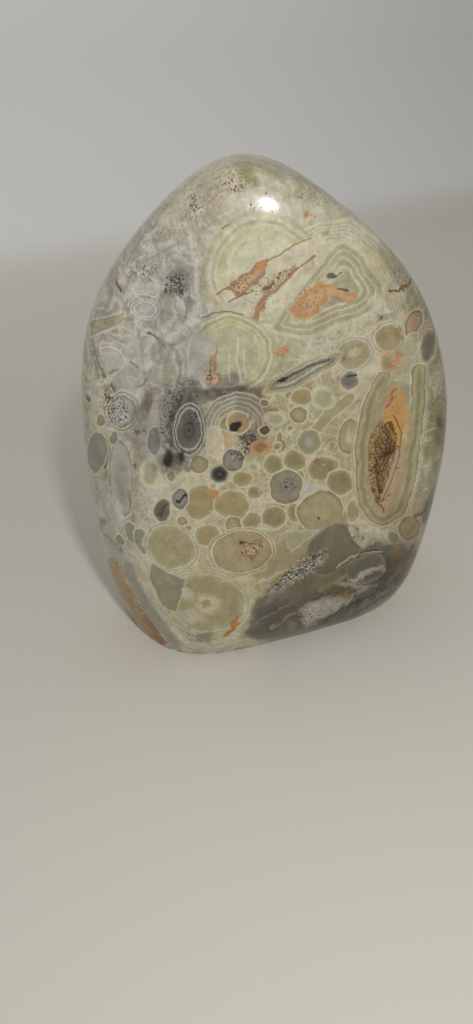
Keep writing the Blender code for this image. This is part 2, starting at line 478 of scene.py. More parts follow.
class Painter:
    """Adds shader nodes in the order of their use, and keeps what is painted so far."""

    def __init__(self, tree, window=None):
        self.tree = tree
        self.window = window
        self.colour = None
        self.matt = 0.0

    def node(self, kind, *inputs, **settings):
        """A new node with its settings and its leading inputs."""
        node = self.tree.nodes.new(kind)
        for name, value in settings.items():
            setattr(node, name, value)
        for socket, value in zip(node.inputs, inputs):
            self.feed(socket, value)
        return node

    def feed(self, socket, value):
        """Link a value made by another node, or set a plain one."""
        if isinstance(value, bpy.types.NodeSocket):
            self.tree.links.new(value, socket)
        else:
            socket.default_value = value

    def math(self, operation, *values):
        """A sum on numbers."""
        return self.node("ShaderNodeMath", *values, operation=operation).outputs[0]

    def vector(self, operation, *values):
        """A sum on vectors that gives a vector."""
        return self.node("ShaderNodeVectorMath", *values, operation=operation).outputs["Vector"]

    def measure(self, operation, *values):
        """A sum on vectors that gives a number."""
        return self.node("ShaderNodeVectorMath", *values, operation=operation).outputs["Value"]

    def scaled(self, vector, factor):
        """A vector times a number."""
        node = self.node("ShaderNodeVectorMath", vector, operation="SCALE")
        self.feed(node.inputs["Scale"], factor)
        return node.outputs["Vector"]

    def fade(self, value, start, end, most=1.0):
        """Rises smoothly from 0 at start to the most at end, and stays level outside them."""
        return self.node("ShaderNodeMapRange", value, start, end, 0.0, most,
                         interpolation_type="SMOOTHSTEP", clamp=False).outputs[0]

    def stretch(self, value, start, end):
        """0 at start to 1 at end, evenly, and on beyond them."""
        return self.node("ShaderNodeMapRange", value, start, end, 0.0, 1.0, clamp=False).outputs[0]

    def bands(self, value, count):
        """Rises and falls between 0 and 1, count times in all, as a value goes from 0 to 1."""
        return self.math("PINGPONG", self.math("MULTIPLY", value, count), 1.0)

    def off_middle(self, value):
        """How far a noise is from its middle value."""
        return self.math("ABSOLUTE", self.math("SUBTRACT", value, 0.5))

    def noise(self, where, size, detail=2.0, roughness=0.5):
        """Soft noise whose lumps are about this size: its number from 0 to 1."""
        node = self.node("ShaderNodeTexNoise", where)
        node.inputs["Scale"].default_value = 1.0 / size
        node.inputs["Detail"].default_value = detail
        node.inputs["Roughness"].default_value = roughness
        return node.outputs[0]

    def orbs(self, where, spacing, least, most):
        """Round cells of many sizes: distance, 1 on their edge, and a number that picks their kind."""
        node = self.node("ShaderNodeTexVoronoi", where)
        node.inputs["Scale"].default_value = 1.0 / spacing
        chance, kind = self.node("ShaderNodeSeparateColor", node.outputs["Color"]).outputs[:2]
        size = self.math("MULTIPLY_ADD", chance, most - least, least)
        return self.math("DIVIDE", node.outputs["Distance"], size), kind

    def stirred(self, where, source, size, reach, detail=2.0):
        """A place pushed about by noise of this lump size, by up to this reach."""
        node = self.node("ShaderNodeTexNoise", source)
        node.inputs["Scale"].default_value = 1.0 / size
        node.inputs["Detail"].default_value = detail
        parts = self.node("ShaderNodeSeparateColor", node.outputs["Color"]).outputs
        push = self.node("ShaderNodeCombineXYZ", *parts).outputs[0]
        twice = [2.0 * part for part in reach]
        back = [-part for part in reach]
        return self.vector("ADD", self.vector("MULTIPLY_ADD", push, twice, back), where)

    def ramp(self, value, stops):
        """Colour and cover by stops of (place from 0 to 1, finish)."""
        node = self.node("ShaderNodeValToRGB", value)
        node.color_ramp.interpolation = "LINEAR"
        places = node.color_ramp.elements
        while len(places) < len(stops):
            places.new(1.0)
        for element, (place, finish) in zip(places, stops):
            element.position = min(max(place, 0.0), 1.0)
            element.color = finish
        return node.outputs["Color"], node.outputs["Alpha"]

    def mix(self, factor, first, second, blend="MIX"):
        """One colour laid over another."""
        node = self.node("ShaderNodeMix", data_type="RGBA", blend_type=blend)
        self.feed(node.inputs[0], factor)
        self.feed(node.inputs[6], first)
        self.feed(node.inputs[7], second)
        return node.outputs[2]

    def lay(self, colour, cover, matt=0.0):
        """Paint a colour over what is there; matt is how dull and granular it is."""
        if isinstance(colour, str):
            colour = tone(colour)
        self.colour = self.mix(cover, self.colour, colour)
        if matt:
            self.matt = self.math("MAXIMUM", self.matt, self.math("MULTIPLY", cover, matt))

    def paint(self, marks):
        """Paint marks in their order."""
        for kind, given, settings in marks:
            getattr(self, kind)(*given, **settings)

    def layer(self, name, content):
        """Paint a table of marks, or what a function paints, in a node group of its own."""
        group = bpy.data.node_groups.new(name, "ShaderNodeTree")
        for socket, kind in LAYER_SOCKETS.items():
            group.interface.new_socket(socket, in_out="INPUT", socket_type=kind)
        group.interface.new_socket("colour", in_out="OUTPUT", socket_type="NodeSocketColor")
        group.interface.new_socket("matt", in_out="OUTPUT", socket_type="NodeSocketFloat")
        inner = Painter(group, self.window)
        given = inner.node("NodeGroupInput").outputs
        for socket in LAYER_SOCKETS:
            setattr(inner, socket, given[socket])
        if callable(content):
            content(inner)
        else:
            inner.paint(content)
        if inner.colour == given["colour"]:
            bpy.data.node_groups.remove(group)
            return
        inner.node("NodeGroupOutput", inner.colour, inner.matt)
        outer = self.node("ShaderNodeGroup", node_tree=group)
        for socket in LAYER_SOCKETS:
            self.feed(outer.inputs[socket], getattr(self, socket))
        self.colour, self.matt = outer.outputs["colour"], outer.outputs["matt"]

    # Marks; where is the coordinates that a mark is placed in, or their name; their third number is 1

    def misses(self, where, places, reach):
        """True if a mark that reaches this far from these places lies outside the window being painted."""
        if self.window is None:
            return False
        reach += FRAYED_REACH if where == "frayed" else STIRRED_REACH
        left, top, right, bottom = self.window
        across = [place[0] for place in places]
        down = [place[1] for place in places]
        return (max(across) + reach < left or min(across) - reach > right
                or max(down) + reach < top or min(down) - reach > bottom)

    def along(self, where, place, turn, size=1.0):
        """Distance from a place along a direction, in parts of a size; turn is clockwise from the right."""
        way = (cos(radians(turn)) / size, sin(radians(turn)) / size)
        return self.measure("DOT_PRODUCT", where, (way[0], way[1], -way[0] * place[0] - way[1] * place[1]))

    def around(self, where, place, size, turn=0.0):
        """Distance from a place, 1 on the edge of an ellipse of this full size, turned clockwise."""
        if not turn:
            factor = (2.0 / size[0], 2.0 / size[1], 0.0)
            offset = (-place[0] * factor[0], -place[1] * factor[1], 0.0)
            return self.measure("LENGTH", self.vector("MULTIPLY_ADD", where, factor, offset))
        across = self.along(where, place, turn, size[0] / 2)
        down = self.along(where, place, turn + 90, size[1] / 2)
        return self.measure("LENGTH", self.node("ShaderNodeCombineXYZ", across, down).outputs[0])

    def cell(self, place, size, turn, look):
        """A round cell; its look is stops of (distance out from its edge, finish, cover if not 1)."""
        half = (size[0] + size[1]) / 4
        reach = half + look[-1][0]
        grown = (size[0] * reach / half, size[1] * reach / half)
        if self.misses("front", [place], max(grown) / 2):
            return
        distance = self.around(self.front, place, grown, turn)
        stops = [((half + max(out, -half)) / reach, tone(*finish)) for out, *finish in look]
        self.lay(*self.ramp(distance, stops))

    def lay_mark(self, finish, cover, broken, matt):
        """Paint a mark, with gaps if it is broken."""
        if broken:
            cover = self.math("MULTIPLY", cover, self.broken)
        self.lay(finish, cover, matt)

    def blot(self, place, size, turn, finish, cover=1.0, core=0.35, broken=False, matt=0.0, where="frayed"):
        """A soft-edged patch, solid up to its core."""
        if self.misses(where, [place], max(size) / 2):
            return
        distance = self.around(getattr(self, where), place, size, turn)
        self.lay_mark(finish, self.fade(distance, 1.0, core, cover), broken, matt)

    def pool(self, *given, **settings):
        """A blot with a clean outline."""
        self.blot(*given, where="front", **settings)

    def from_line(self, where, start, end):
        """Distance from a straight line between two places."""
        middle = ((start[0] + end[0]) / 2, (start[1] + end[1]) / 2)
        turn = degrees(atan2(end[1] - start[1], end[0] - start[0]))
        half = hypot(end[0] - start[0], end[1] - start[1]) / 2
        beyond = self.math("SUBTRACT", self.math("ABSOLUTE", self.along(where, middle, turn)), half)
        across = self.along(where, middle, turn + 90)
        corner = self.node("ShaderNodeCombineXYZ", self.math("MAXIMUM", beyond, 0.0), across).outputs[0]
        return self.measure("LENGTH", corner)

    def from_path(self, where, places):
        """Distance from a line through several places."""
        distance = self.from_line(where, places[0], places[1])
        for start, end in zip(places[1:], places[2:]):
            distance = self.math("MINIMUM", distance, self.from_line(where, start, end))
        return distance

    def band(self, distance, width, soft, cover):
        """Cover of a line of this width, from the distance to its middle."""
        return self.fade(distance, width / 2 + soft, max(width / 2 - soft, 0.0), cover)

    def stroke(self, places, width, finish, cover=1.0, soft=0.6, broken=False, matt=0.0, where="frayed"):
        """A line of even width through several places."""
        if self.misses(where, places, width / 2 + soft):
            return
        distance = self.from_path(getattr(self, where), places)
        self.lay_mark(finish, self.band(distance, width, soft, cover), broken, matt)

    def line(self, *given, **settings):
        """A stroke with clean edges."""
        self.stroke(*given, where="front", **settings)

    def course(self, places, look):
        """A band along several places; its look is stops of (distance from the line, finish, cover)."""
        reach = look[-1][0]
        if self.misses("front", places, reach):
            return
        distance = self.math("DIVIDE", self.from_path(self.front, places), reach)
        self.lay(*self.ramp(distance, [(out / reach, tone(*finish)) for out, *finish in look]))

    def crowd(self, ratio, kind, bodies, rim, region=1.0):
        """Lay round cells with thin rims inside a region."""
        body = self.ramp(kind, [(index / len(bodies), tone(name)) for index, name in enumerate(bodies)])[0]
        self.lay(body, self.math("MULTIPLY", self.fade(ratio, *ORB_BODY), region))
        ring = self.math("MULTIPLY", self.fade(ratio, *ORB_RIM_INNER), self.fade(ratio, *ORB_RIM_OUTER))
        self.lay(rim, self.math("MULTIPLY", ring, region))

    def arc(self, centre, radius, towards, spread, width, finish, cover=1.0, soft=0.6):
        """Part of a ring of this spread; towards is where its middle lies, clockwise from the right."""
        if self.misses("front", [centre], radius + width):
            return
        distance = self.around(self.front, centre, (2.0, 2.0))
        off = self.math("ABSOLUTE", self.math("SUBTRACT", distance, radius))
        alpha = self.band(off, width, soft, cover)
        limit = radius * cos(radians(spread / 2))
        easing = radius * ARC_EASING
        gate = self.fade(self.along(self.front, centre, towards), limit - easing, limit + easing)
        self.lay(finish, self.math("MULTIPLY", alpha, gate))

    def out_of(self, where, corners, rounding):
        """Distance out of a polygon that bulges everywhere; its corners go clockwise."""
        distance = None
        for (x0, y0), (x1, y1) in zip(corners, corners[1:] + corners[:1]):
            length = hypot(x1 - x0, y1 - y0)
            out = ((y1 - y0) / length, (x0 - x1) / length)
            plane = (out[0], out[1], -(out[0] * x0 + out[1] * y0))
            side = self.measure("DOT_PRODUCT", where, plane)
            distance = side if distance is None else self.math("SMOOTH_MAX", distance, side, rounding)
        return distance

    def patch(self, corners, rounding, look, matt=0.0, where="front"):
        """A polygon; its look is stops of (distance out from its edge, finish, cover)."""
        inner = look[0][0]
        outer = look[-1][0]
        if self.misses(where, corners, outer):
            return
        value = self.stretch(self.out_of(getattr(self, where), corners, rounding), inner, outer)
        stops = [((out - inner) / (outer - inner), tone(*finish)) for out, *finish in look]
        colour, cover = self.ramp(value, stops)
        self.lay(colour, cover, matt)

    def wedge(self, *given, **settings):
        """A patch with a frayed outline."""
        self.patch(*given, where="frayed", **settings)

    def specks(self, place, size, turn, dark, light, cover=1.0, matt=0.0, where="frayed"):
        """Fine dark and light grains in a soft-edged patch; None leaves one of them out."""
        if self.misses(where, [place], max(size) / 2):
            return
        region = self.fade(self.around(getattr(self, where), place, size, turn), 1.0, 0.5, cover)
        if light:
            self.lay(light, self.math("MULTIPLY", region, self.light_grit))
        if dark:
            self.lay(dark, self.math("MULTIPLY", region, self.dark_grit), matt)

    def grains(self, *given, **settings):
        """Specks in a patch that isn't frayed."""
        self.specks(*given, where="front", **settings)


def maker(kind):
    """A function that notes down one mark of this kind, for Painter.paint."""
    def note(*given, **settings):
        return kind, given, settings
    return note


# What each of these takes is told at the painter's method of the same name
arc, blot, cell, course, grains, line = map(maker, ("arc", "blot", "cell", "course", "grains", "line"))
patch, pool, specks, stroke, wedge = map(maker, ("patch", "pool", "specks", "stroke", "wedge"))

# The front is painted in windows of the photograph, so that each spot works out only the marks near it
WINDOW_COLUMNS = (0, 262, PHOTO_WIDTH)
WINDOW_ROWS = (0, 300, 385, 460, 540, PHOTO_HEIGHT)
WINDOWS = [(left, top, right, bottom) for top, bottom in zip(WINDOW_ROWS, WINDOW_ROWS[1:])
           for left, right in zip(WINDOW_COLUMNS, WINDOW_COLUMNS[1:])]
UNSEEN = (-1000, -1000, -1000, -1000)
WINDOWS.append(UNSEEN)
# A face this far turned from the viewpoint, as a cosine, is in no window
HIDDEN_FROM = 0.1
# How far stirring can move a mark, in pixels
STIRRED_REACH = 9.0
FRAYED_REACH = 15.0

# The front's marks in pixels of the photograph: middle, full width and height, and turn clockwise

# Broad changes of tone, each with its finish and cover
GROUND = [
    ((150, 290), (210, 270), 0, "pale_grey", 0.8), ((125, 470), (110, 280), 0, "pale_grey", 0.85),
    ((255, 190), (220, 100), 8, "cream", 0.9), ((385, 262), (120, 190), 40, "warm_cream", 0.9),
    ((318, 188), (130, 56), 28, "sage", 0.7), ((205, 205), (70, 90), 15, "brown_grey", 0.35),
    ((300, 440), (260, 220), 0, "straw", 0.95), ((425, 430), (100, 320), 0, "olive", 0.95),
    ((440, 420), (70, 300), 0, "deep_olive", 0.8), ((420, 290), (46, 120), -25, "deep_olive", 0.8),
    ((250, 560), (300, 150), -15, "straw", 0.85), ((200, 615), (150, 90), 0, "green_cream", 0.9),
    ((300, 348), (120, 70), -20, "sage", 0.75), ((225, 385), (150, 36), -6, "mid_grey", 0.7),
    ((110, 545), (40, 60), 20, "pale_grey", 0.9),
]

# Round cells by kind
DEEP_CELLS = [
    ((277, 447), (9, 9), 0), ((274, 464.5), (21, 20), 0), ((295, 460.5), (23, 20), 0),
    ((323, 469), (32, 24), -12), ((340, 483), (28, 26), -20), ((274, 517.5), (28, 23), 0),
    ((295, 513), (15, 22), 0), ((252, 521), (20, 18), 0), ((255, 493), (16, 13), 0),
    ((290, 428), (7, 7), 0),
]
OLIVE_CELLS = [
    ((101.5, 421), (9, 14), 0), ((199, 464), (20, 20), 0), ((298, 415.8), (19, 16), 0),
    ((349, 436.5), (22, 37), 10), ((233, 524.5), (18, 17), 0), ((182.5, 521), (13, 9), 10),
    ((189, 528), (8, 6), 10),
]
PALE_CELLS = [
    ((323, 398.6), (25, 23), 0), ((274.7, 419.3), (21, 14), 0), ((254, 466), (14, 13), 0),
    ((150.6, 472.7), (20, 30), -5), ((412, 455), (14, 26), 0),
]
GREY_CELLS = [
    ((97.2, 452), (21, 42), 4), ((113.6, 438), (9, 15), 8), ((171, 476), (9, 11), 0),
    ((131.7, 533), (13, 24), -20), ((142, 541.5), (14, 27), -20), ((121, 540), (7, 14), -20),
    ((154, 441), (13, 28), 4), ((394, 538), (13, 12), 0),
]
TAN_CELLS = [
    ((200.6, 502), (30, 36), 15), ((231.6, 505.5), (36, 30), 0), ((207.5, 536.5), (26, 23), 0),
    ((242.8, 479.6), (21, 18), 0), ((301, 397.5), (20, 18), 0), ((353, 511), (14, 22), 0),
]

# Streaks that slant up to the right in the dark corner: start, end, width and finish
CORNER_STREAKS = [
    ((262, 606), (300, 588), 2.0, "brown_grey"), ((256, 622), (292, 604), 1.6, "grey_green"),
    ((330, 628), (372, 604), 2.6, "black"), ((352, 618), (398, 590), 3.0, "charcoal"),
    ((360, 600), (392, 584), 2.4, "mid_grey"), ((340, 584), (366, 590), 4.0, "silver"),
    ((380, 610), (404, 588), 2.0, "slate"), ((322, 590), (350, 574), 3.0, "olive"),
    ((346, 616), (396, 586), 3.0, "mid_grey"), ((366, 612), (392, 600), 5.0, "mid_grey"),
    ((268, 600), (296, 580), 4.0, "mid_grey"), ((350, 598), (376, 586), 3.0, "pale_grey"),
    ((338, 612), (384, 588), 2.0, "black"), ((356, 622), (402, 598), 2.6, "slate"),
    ((384, 584), (414, 560), 2.4, "tan"), ((386, 572), (412, 548), 2.0, "smoke"),
    ((270, 628), (300, 610), 2.4, "tan"),
]

# In a cell's look, the place of its middle
MIDDLE = -999


def rimmed(body, shade=None, heart=None, rims=1, rim="cream"):
    """A cell's look: its heart, body, the shade inside its edge, and one or two light rims."""
    shade = shade or body
    look = [(MIDDLE, heart or body), (-5.0, body), (-1.2, shade), (-0.5, rim), (0.4, rim)]
    if rims == 1:
        return look + [(1.5, rim, 0.0)]
    return look + [(1.2, shade, 0.8), (2.0, shade, 0.8), (2.6, rim, 0.9), (3.2, rim, 0.9), (4.4, rim, 0.0)]


def fine_rimmed(body, shade):
    """The look of a cell on the back, in millimetres, with one light rim."""
    return [(MIDDLE, shade), (-2.4, body), (-0.7, shade), (-0.3, "cream"), (0.3, "cream"),
            (0.9, "cream", 0.0)]


def photo_places(p):
    """Where each point of the stone lies on the photograph, seen from its viewpoint: x, y and 1."""
    forward, right, up = view_axes()
    ray = p.vector("SUBTRACT", p.coordinates, VIEW_PLACE)
    depth = p.measure("DOT_PRODUCT", ray, forward)
    across = p.math("DIVIDE", p.measure("DOT_PRODUCT", ray, right), depth)
    down = p.math("DIVIDE", p.measure("DOT_PRODUCT", ray, -up), depth)
    x = p.math("MULTIPLY_ADD", across, VIEW_FOCAL, PHOTO_WIDTH / 2)
    y = p.math("MULTIPLY_ADD", down, VIEW_FOCAL, PHOTO_HEIGHT / 2)
    return p.node("ShaderNodeCombineXYZ", x, y, 1.0).outputs[0]


# How many bands the ground has, and where its small cells crowd
BROAD_BANDS = 20.0
FINE_BANDS = 53.0
CROWD_PLACE = (285, 470)
CROWD_SIZE = (250, 190)
CROWD_KINDS = ("olive", "deep_olive", "tan", "olive", "sage")


def paint_ground(p):
    """The pale matrix with its broad changes of tone, its fine curved bands and its mottling."""
    for place, size, turn, finish, cover in GROUND:
        p.blot(place, size, turn, finish, cover, core=0.3)
    p.lay("white", p.fade(p.cloud, 0.52, 0.72, 0.50))
    p.lay("grey_green", p.fade(p.cloud, 0.50, 0.28, 0.50))
    p.lay("olive", p.fade(p.bands(p.level, BROAD_BANDS), 0.40, 0.95, 0.40))
    p.lay("white", p.fade(p.bands(p.level, FINE_BANDS), 0.62, 0.95, 0.28))
    p.lay("brown_grey", p.fade(p.mottle, 0.46, 0.32, 0.22))
    middle = p.fade(p.around(p.frayed, CROWD_PLACE, CROWD_SIZE), 1.0, 0.8)
    p.crowd(p.orb_ratio, p.orb_kind, CROWD_KINDS, "cream", middle)
    p.lay("white", p.math("MULTIPLY", p.vein, 0.5))


# Broad darker zones over all the marks, partly painted shade where the light falls off towards the foot and
# the lower right, partly the stone's own darker tones: middle, full size, turn, and what the colour is
# multiplied by
PAINTED_SHADE_AND_DARK_TONES = [
    ((310, 500), (400, 420), 0, (0.93, 0.91, 0.86, 1.0)),
    ((350, 592), (230, 110), -25, (0.68, 0.66, 0.66, 1.0)),
    ((415, 525), (90, 80), 0, (0.78, 0.75, 0.73, 1.0)),
    ((290, 560), (100, 70), -25, (0.88, 0.86, 0.84, 1.0)),
    ((205, 600), (120, 80), 0, (0.88, 0.85, 0.78, 1.0)),
    ((250, 420), (60, 90), 0, (0.80, 0.78, 0.75, 1.0)),
    ((448, 400), (70, 360), 0, (0.80, 0.78, 0.74, 1.0)),
    ((402, 570), (80, 56), -35, (0.66, 0.64, 0.62, 1.0)),
    ((424, 318), (44, 90), -15, (0.80, 0.78, 0.73, 1.0)),
    ((168, 425), (130, 120), 0, (0.74, 0.74, 0.80, 1.0)),
    ((315, 176), (150, 50), 24, (0.82, 0.80, 0.76, 1.0)),
    ((176, 310), (90, 190), 0, (0.86, 0.87, 0.91, 1.0)),
    ((395, 290), (50, 130), -25, (0.82, 0.80, 0.76, 1.0)),
]


def paint_shade_and_dark_tones(p):
    """The broad darker zones of the front: painted shade where the light falls off, and the stone's darker
    tones.
    """
    for place, size, turn, factor in PAINTED_SHADE_AND_DARK_TONES:
        if not p.misses("frayed", [place], max(size) / 2):
            alpha = p.fade(p.around(p.frayed, place, size, turn), 1.0, 0.4)
            p.colour = p.mix(alpha, p.colour, factor, blend="MULTIPLY")


# The pale crown: its speckled patch, green wedge, olive streaks and rusty spots, and a painted highlight
# glow
CROWN = [
    pool((262, 168), (80, 26), 18, "sage", 0.75, core=0.5),
    arc((236, 232), 62, 293, 46, 3.5, "cream", 0.7),
    arc((236, 232), 69, 295, 40, 4.0, "grey_green", 0.6),
    arc((236, 232), 56, 290, 34, 3.0, "sage", 0.7),
    patch([(232, 161), (250, 166), (263, 187), (252, 188), (236, 172)], 3.0,
        [(-5, "deep_olive", 0.75), (-1, "olive", 0.75), (1.5, "olive", 0.0)]),
    # Painted highlight: a soft white glow round the lamp's highlight on the crown
    blot((262, 208), (110, 46), 12, "white", 0.5, core=0.1),
    grains((237, 181), (40, 34), 35, "deep_olive", "warm_cream", 0.9),
    grains((232, 187), (34, 18), 10, "umber", None, 0.8),
    grains((262, 208), (44, 14), 0, "umber", "white", 0.8),
    grains((319, 196), (34, 34), 30, "deep_olive", "cream", 0.8),
    grains((194, 206), (22, 34), 10, "charcoal", "white", 0.9),
    grains((205, 205), (60, 70), 20, "brown_grey", "pale_grey", 0.35),
    stroke([(223, 228), (230, 222)], 2.0, "charcoal", 0.8),
    blot((222, 206), (18, 16), 0, "pink", 0.5),
    blot((307, 216), (13, 12), 0, "amber", 0.85, broken=True, matt=0.5),
    blot((297, 197), (9, 8), 0, "orange", 0.8, broken=True, matt=0.5),
    blot((242, 175), (4, 4), 0, "umber", 0.8),
    blot((268, 193), (5, 4), 0, "umber", 0.7),
    blot((303, 197), (4, 4), 0, "charcoal", 0.8),
    stroke([(330, 222), (341, 218), (350, 214)], 4.0, "olive", 0.75, soft=1.5),
    stroke([(300, 226), (318, 221), (330, 224)], 2.0, "sage", 0.7, soft=1.2),
    stroke([(345, 244), (357, 248)], 3.5, "deep_olive", 0.7, soft=1.5),
    course([(296, 246), (322, 232), (348, 230), (374, 250), (393, 288), (398, 316)],
        [(0, "sage", 0.5), (2, "green_cream", 0.6), (4, "sage", 0.6), (5.5, "white", 0.5),
         (7, "olive", 0.5), (9, "green_cream", 0.5), (11, "white", 0.5), (13, "sage", 0.4),
         (18, "sage", 0.0)]),
    blot((392, 262), (22, 60), -28, "deep_olive", 0.6),
    blot((372, 262), (24, 36), -25, "yellow_green", 0.8),
    blot((325, 237), (9, 14), 30, "deep_olive", 0.7),
    blot((326, 231), (7, 7), 0, "orange", 0.6, broken=True),
]

# The large pale dome of nested bands under the crown
HIGH_DOME = [
    cell((264, 272), (112, 112), 0,
        [(MIDDLE, "green_cream", 0.9), (-27, "green_cream", 0.9), (-23, "yellow_green", 0.8),
         (-19, "green_cream", 0.9), (-15, "warm_cream", 0.9), (-12, "yellow_green", 0.75),
         (-9, "green_cream", 0.9), (-6, "sage", 0.75), (-3, "green_cream", 0.85), (0, "warm_cream", 0.8),
         (3, "olive", 0.4), (7, "cream", 0.0)]),
    blot((223, 262), (12, 30), 5, "olive", 0.6),
    patch([(221, 291), (266, 263), (312, 238), (332, 236), (300, 268), (262, 312), (228, 312)], 3.0,
        [(-4, "cream"), (0, "cream"), (2.5, "cream", 0.0)]),
    grains((262, 290), (70, 34), -35, "umber", "pale_grey", 0.55),
]

# The long orange wedges between the dome and the triangular eye, and the cracks that lead on
ORANGE_LEAVES = [
    wedge([(224, 289), (241, 276), (257, 262), (268, 260), (265, 275), (251, 288), (240, 294)], 3.0,
        [(-5, "peach", 0.95), (-2, "rust", 0.85), (0, "rust", 0.9), (1.2, "umber", 0.0)], matt=0.8),
    specks((244, 282), (34, 18), -35, "umber", "peach", 0.75, matt=0.6),
    blot((261, 267), (13, 17), 25, "orange", core=0.6, matt=0.7),
    line([(216, 294), (227, 287)], 1.6, "rust", 0.9),
    line([(266, 262), (280, 255), (293, 245), (311, 238)], 1.4, "rust", 0.85),
    line([(229, 301), (241, 295), (253, 290)], 1.4, "umber", 0.8),
    wedge([(262, 291), (275, 276), (294, 267), (297, 272), (281, 285), (266, 294)], 3.0,
        [(-3, "tan", 0.85), (0, "rust", 0.7), (2, "rust", 0.0)], matt=0.6),
    specks((279, 280), (40, 15), -35, "umber", "warm_cream", 0.95, matt=0.5),
    stroke([(264, 290), (272, 284)], 3.0, "umber", 0.85),
    wedge([(250, 318), (258, 303), (272, 290), (276, 292), (264, 308), (257, 322)], 3.0,
        [(-4, "orange", 0.95), (-1, "rust", 0.9), (1.2, "rust", 0.0)], matt=0.7),
    line([(262, 301), (276, 291), (292, 272), (315, 256)], 2.4, "rust", 0.85, matt=0.5),
    line([(266, 306), (283, 289), (300, 268)], 1.4, "white", 0.8),
]

# The triangular eye of olive and cream bands round its orange inclusion
TRIANGULAR_EYE = [
    patch([(270, 330), (283, 309), (339, 244), (355, 248), (384, 290), (374, 309), (306, 336)], 9.0,
        [(-26, "sage"), (-20, "olive"), (-17, "green_cream"), (-15.5, "sage"), (-13, "olive"),
         (-11.5, "cream"), (-10, "sage"), (-7, "olive", 0.95), (-5.5, "cream"), (-4, "sage"),
         (-1, "sage", 0.95), (0.5, "cream"), (3.0, "cream", 0.9), (6.0, "cream", 0.0)]),
    blot((333, 272), (34, 26), -20, "green_cream", 0.6),
    wedge([(289, 309), (309, 288), (324, 279), (334, 290), (324, 306), (309, 320), (294, 316)], 5.0,
        [(-7, "peach"), (-2, "orange", 0.9), (0, "peach", 0.9), (2, "warm_cream", 0.7), (4, "sage", 0.0)],
         matt=0.4),
    wedge([(325, 282), (340, 288), (359, 296), (350, 302), (334, 298), (324, 296)], 3.0,
        [(-3, "peach"), (-1, "orange", 0.8), (0, "orange", 0.8), (1.5, "rust", 0.0)], matt=0.8),
    specks((309, 300), (40, 34), -30, "rust", None, 0.8, matt=0.5),
    blot((331, 274), (12, 10), 0, "charcoal", 0.9, core=0.4),
    stroke([(333, 274), (341, 272)], 2.4, "charcoal", 0.8),
    stroke([(338, 288), (347, 289)], 2.2, "black", 0.8),
    line([(376, 320), (392, 314)], 3.4, "black", 0.85, broken=True),
    blot((383, 318), (24, 10), -15, "slate", 0.5),
]

# The right shoulder: its speckled scar, nested cream lines and ringed cells
RIGHT_SHOULDER = [
    grains((400, 280), (20, 32), -20, "slate", "pale_grey", 0.9, matt=0.4),
    stroke([(390, 292), (400, 291), (406, 285), (408, 279)], 2.6, "brown", 0.85, matt=0.7),
    blot((404, 287), (7, 6), 0, "rust", 0.8),
    blot((376, 302), (26, 20), 10, "cream", 0.9),
    line([(398, 327), (403, 316), (411, 310), (420, 305)], 1.5, "cream", 0.9),
    line([(402, 329), (407, 319), (414, 314), (423, 309)], 1.5, "cream", 0.9),
    cell((413, 322), (17, 31), 25, rimmed("pink", "brown_grey")),
    grains((419, 314), (10, 18), 25, "umber", None, 0.8),
    cell((427.5, 347), (15, 36), 10, rimmed("slate", "olive", rims=2)),
    cell((387.5, 338), (28, 27), 0, rimmed("tan", "olive", rims=2)),
    cell((353, 354.5), (38, 30), -28, rimmed("olive", "sage", rims=2)),
    pool((355, 352), (20, 11), -28, "warm_cream", 0.9, core=0.5),
    blot((344, 359), (9, 12), 20, "slate", 0.7),
    blot((357, 351), (8, 5), -30, "peach", 0.7),
    cell((412, 345), (14, 26), 10, rimmed("sage")),
]

# The long dark streak with its grey bands across the middle
STREAKED_LEDGE = [
    patch([(262, 396), (268, 380), (318, 354), (342, 351), (338, 363), (292, 391)], 7.0,
        [(-12, "slate"), (-8.5, "mid_grey"), (-7.5, "cream", 0.8), (-6, "mid_grey"), (-4.5, "slate", 0.9),
         (-3, "sage", 0.95), (-1.5, "olive", 0.9), (0, "cream", 0.7), (2.5, "cream", 0.0)]),
    line([(278, 382), (292, 374), (304, 370), (329, 358)], 4.6, "mid_grey", 0.9),
    line([(292, 371), (305, 365), (328, 355)], 1.2, "cream", 0.9),
    line([(279, 381), (292, 374), (305, 368), (328, 359)], 2.0, "charcoal", 0.95),
    stroke([(279, 381), (286, 377)], 2.4, "black", 0.9),
    blot((281.5, 352), (22, 15), -25, "orange", 0.9, broken=True, matt=0.8),
    blot((256, 400), (24, 26), 0, "slate", 0.7),
    line([(300, 352), (320, 345), (345, 336), (362, 334)], 1.6, "cream", 0.8),
    cell((350, 381), (18, 21), 20, rimmed("slate", "mid_grey")),
    stroke([(346, 375), (356, 376)], 2.4, "black", 0.85),
    blot((337, 381), (12, 12), 0, "orange", 0.7, broken=True),
    blot((363, 402), (14, 10), 0, "slate", 0.8, broken=True),
    course([(318, 428), (334, 410), (350, 399)],
        [(0, "olive", 0.95), (4.5, "olive", 0.95), (5.2, "cream", 0.95), (6.0, "cream", 0.9),
         (7.5, "cream", 0.0)]),
    blot((308, 391), (13, 20), 0, "orange", 0.8, broken=True, matt=0.5),
]

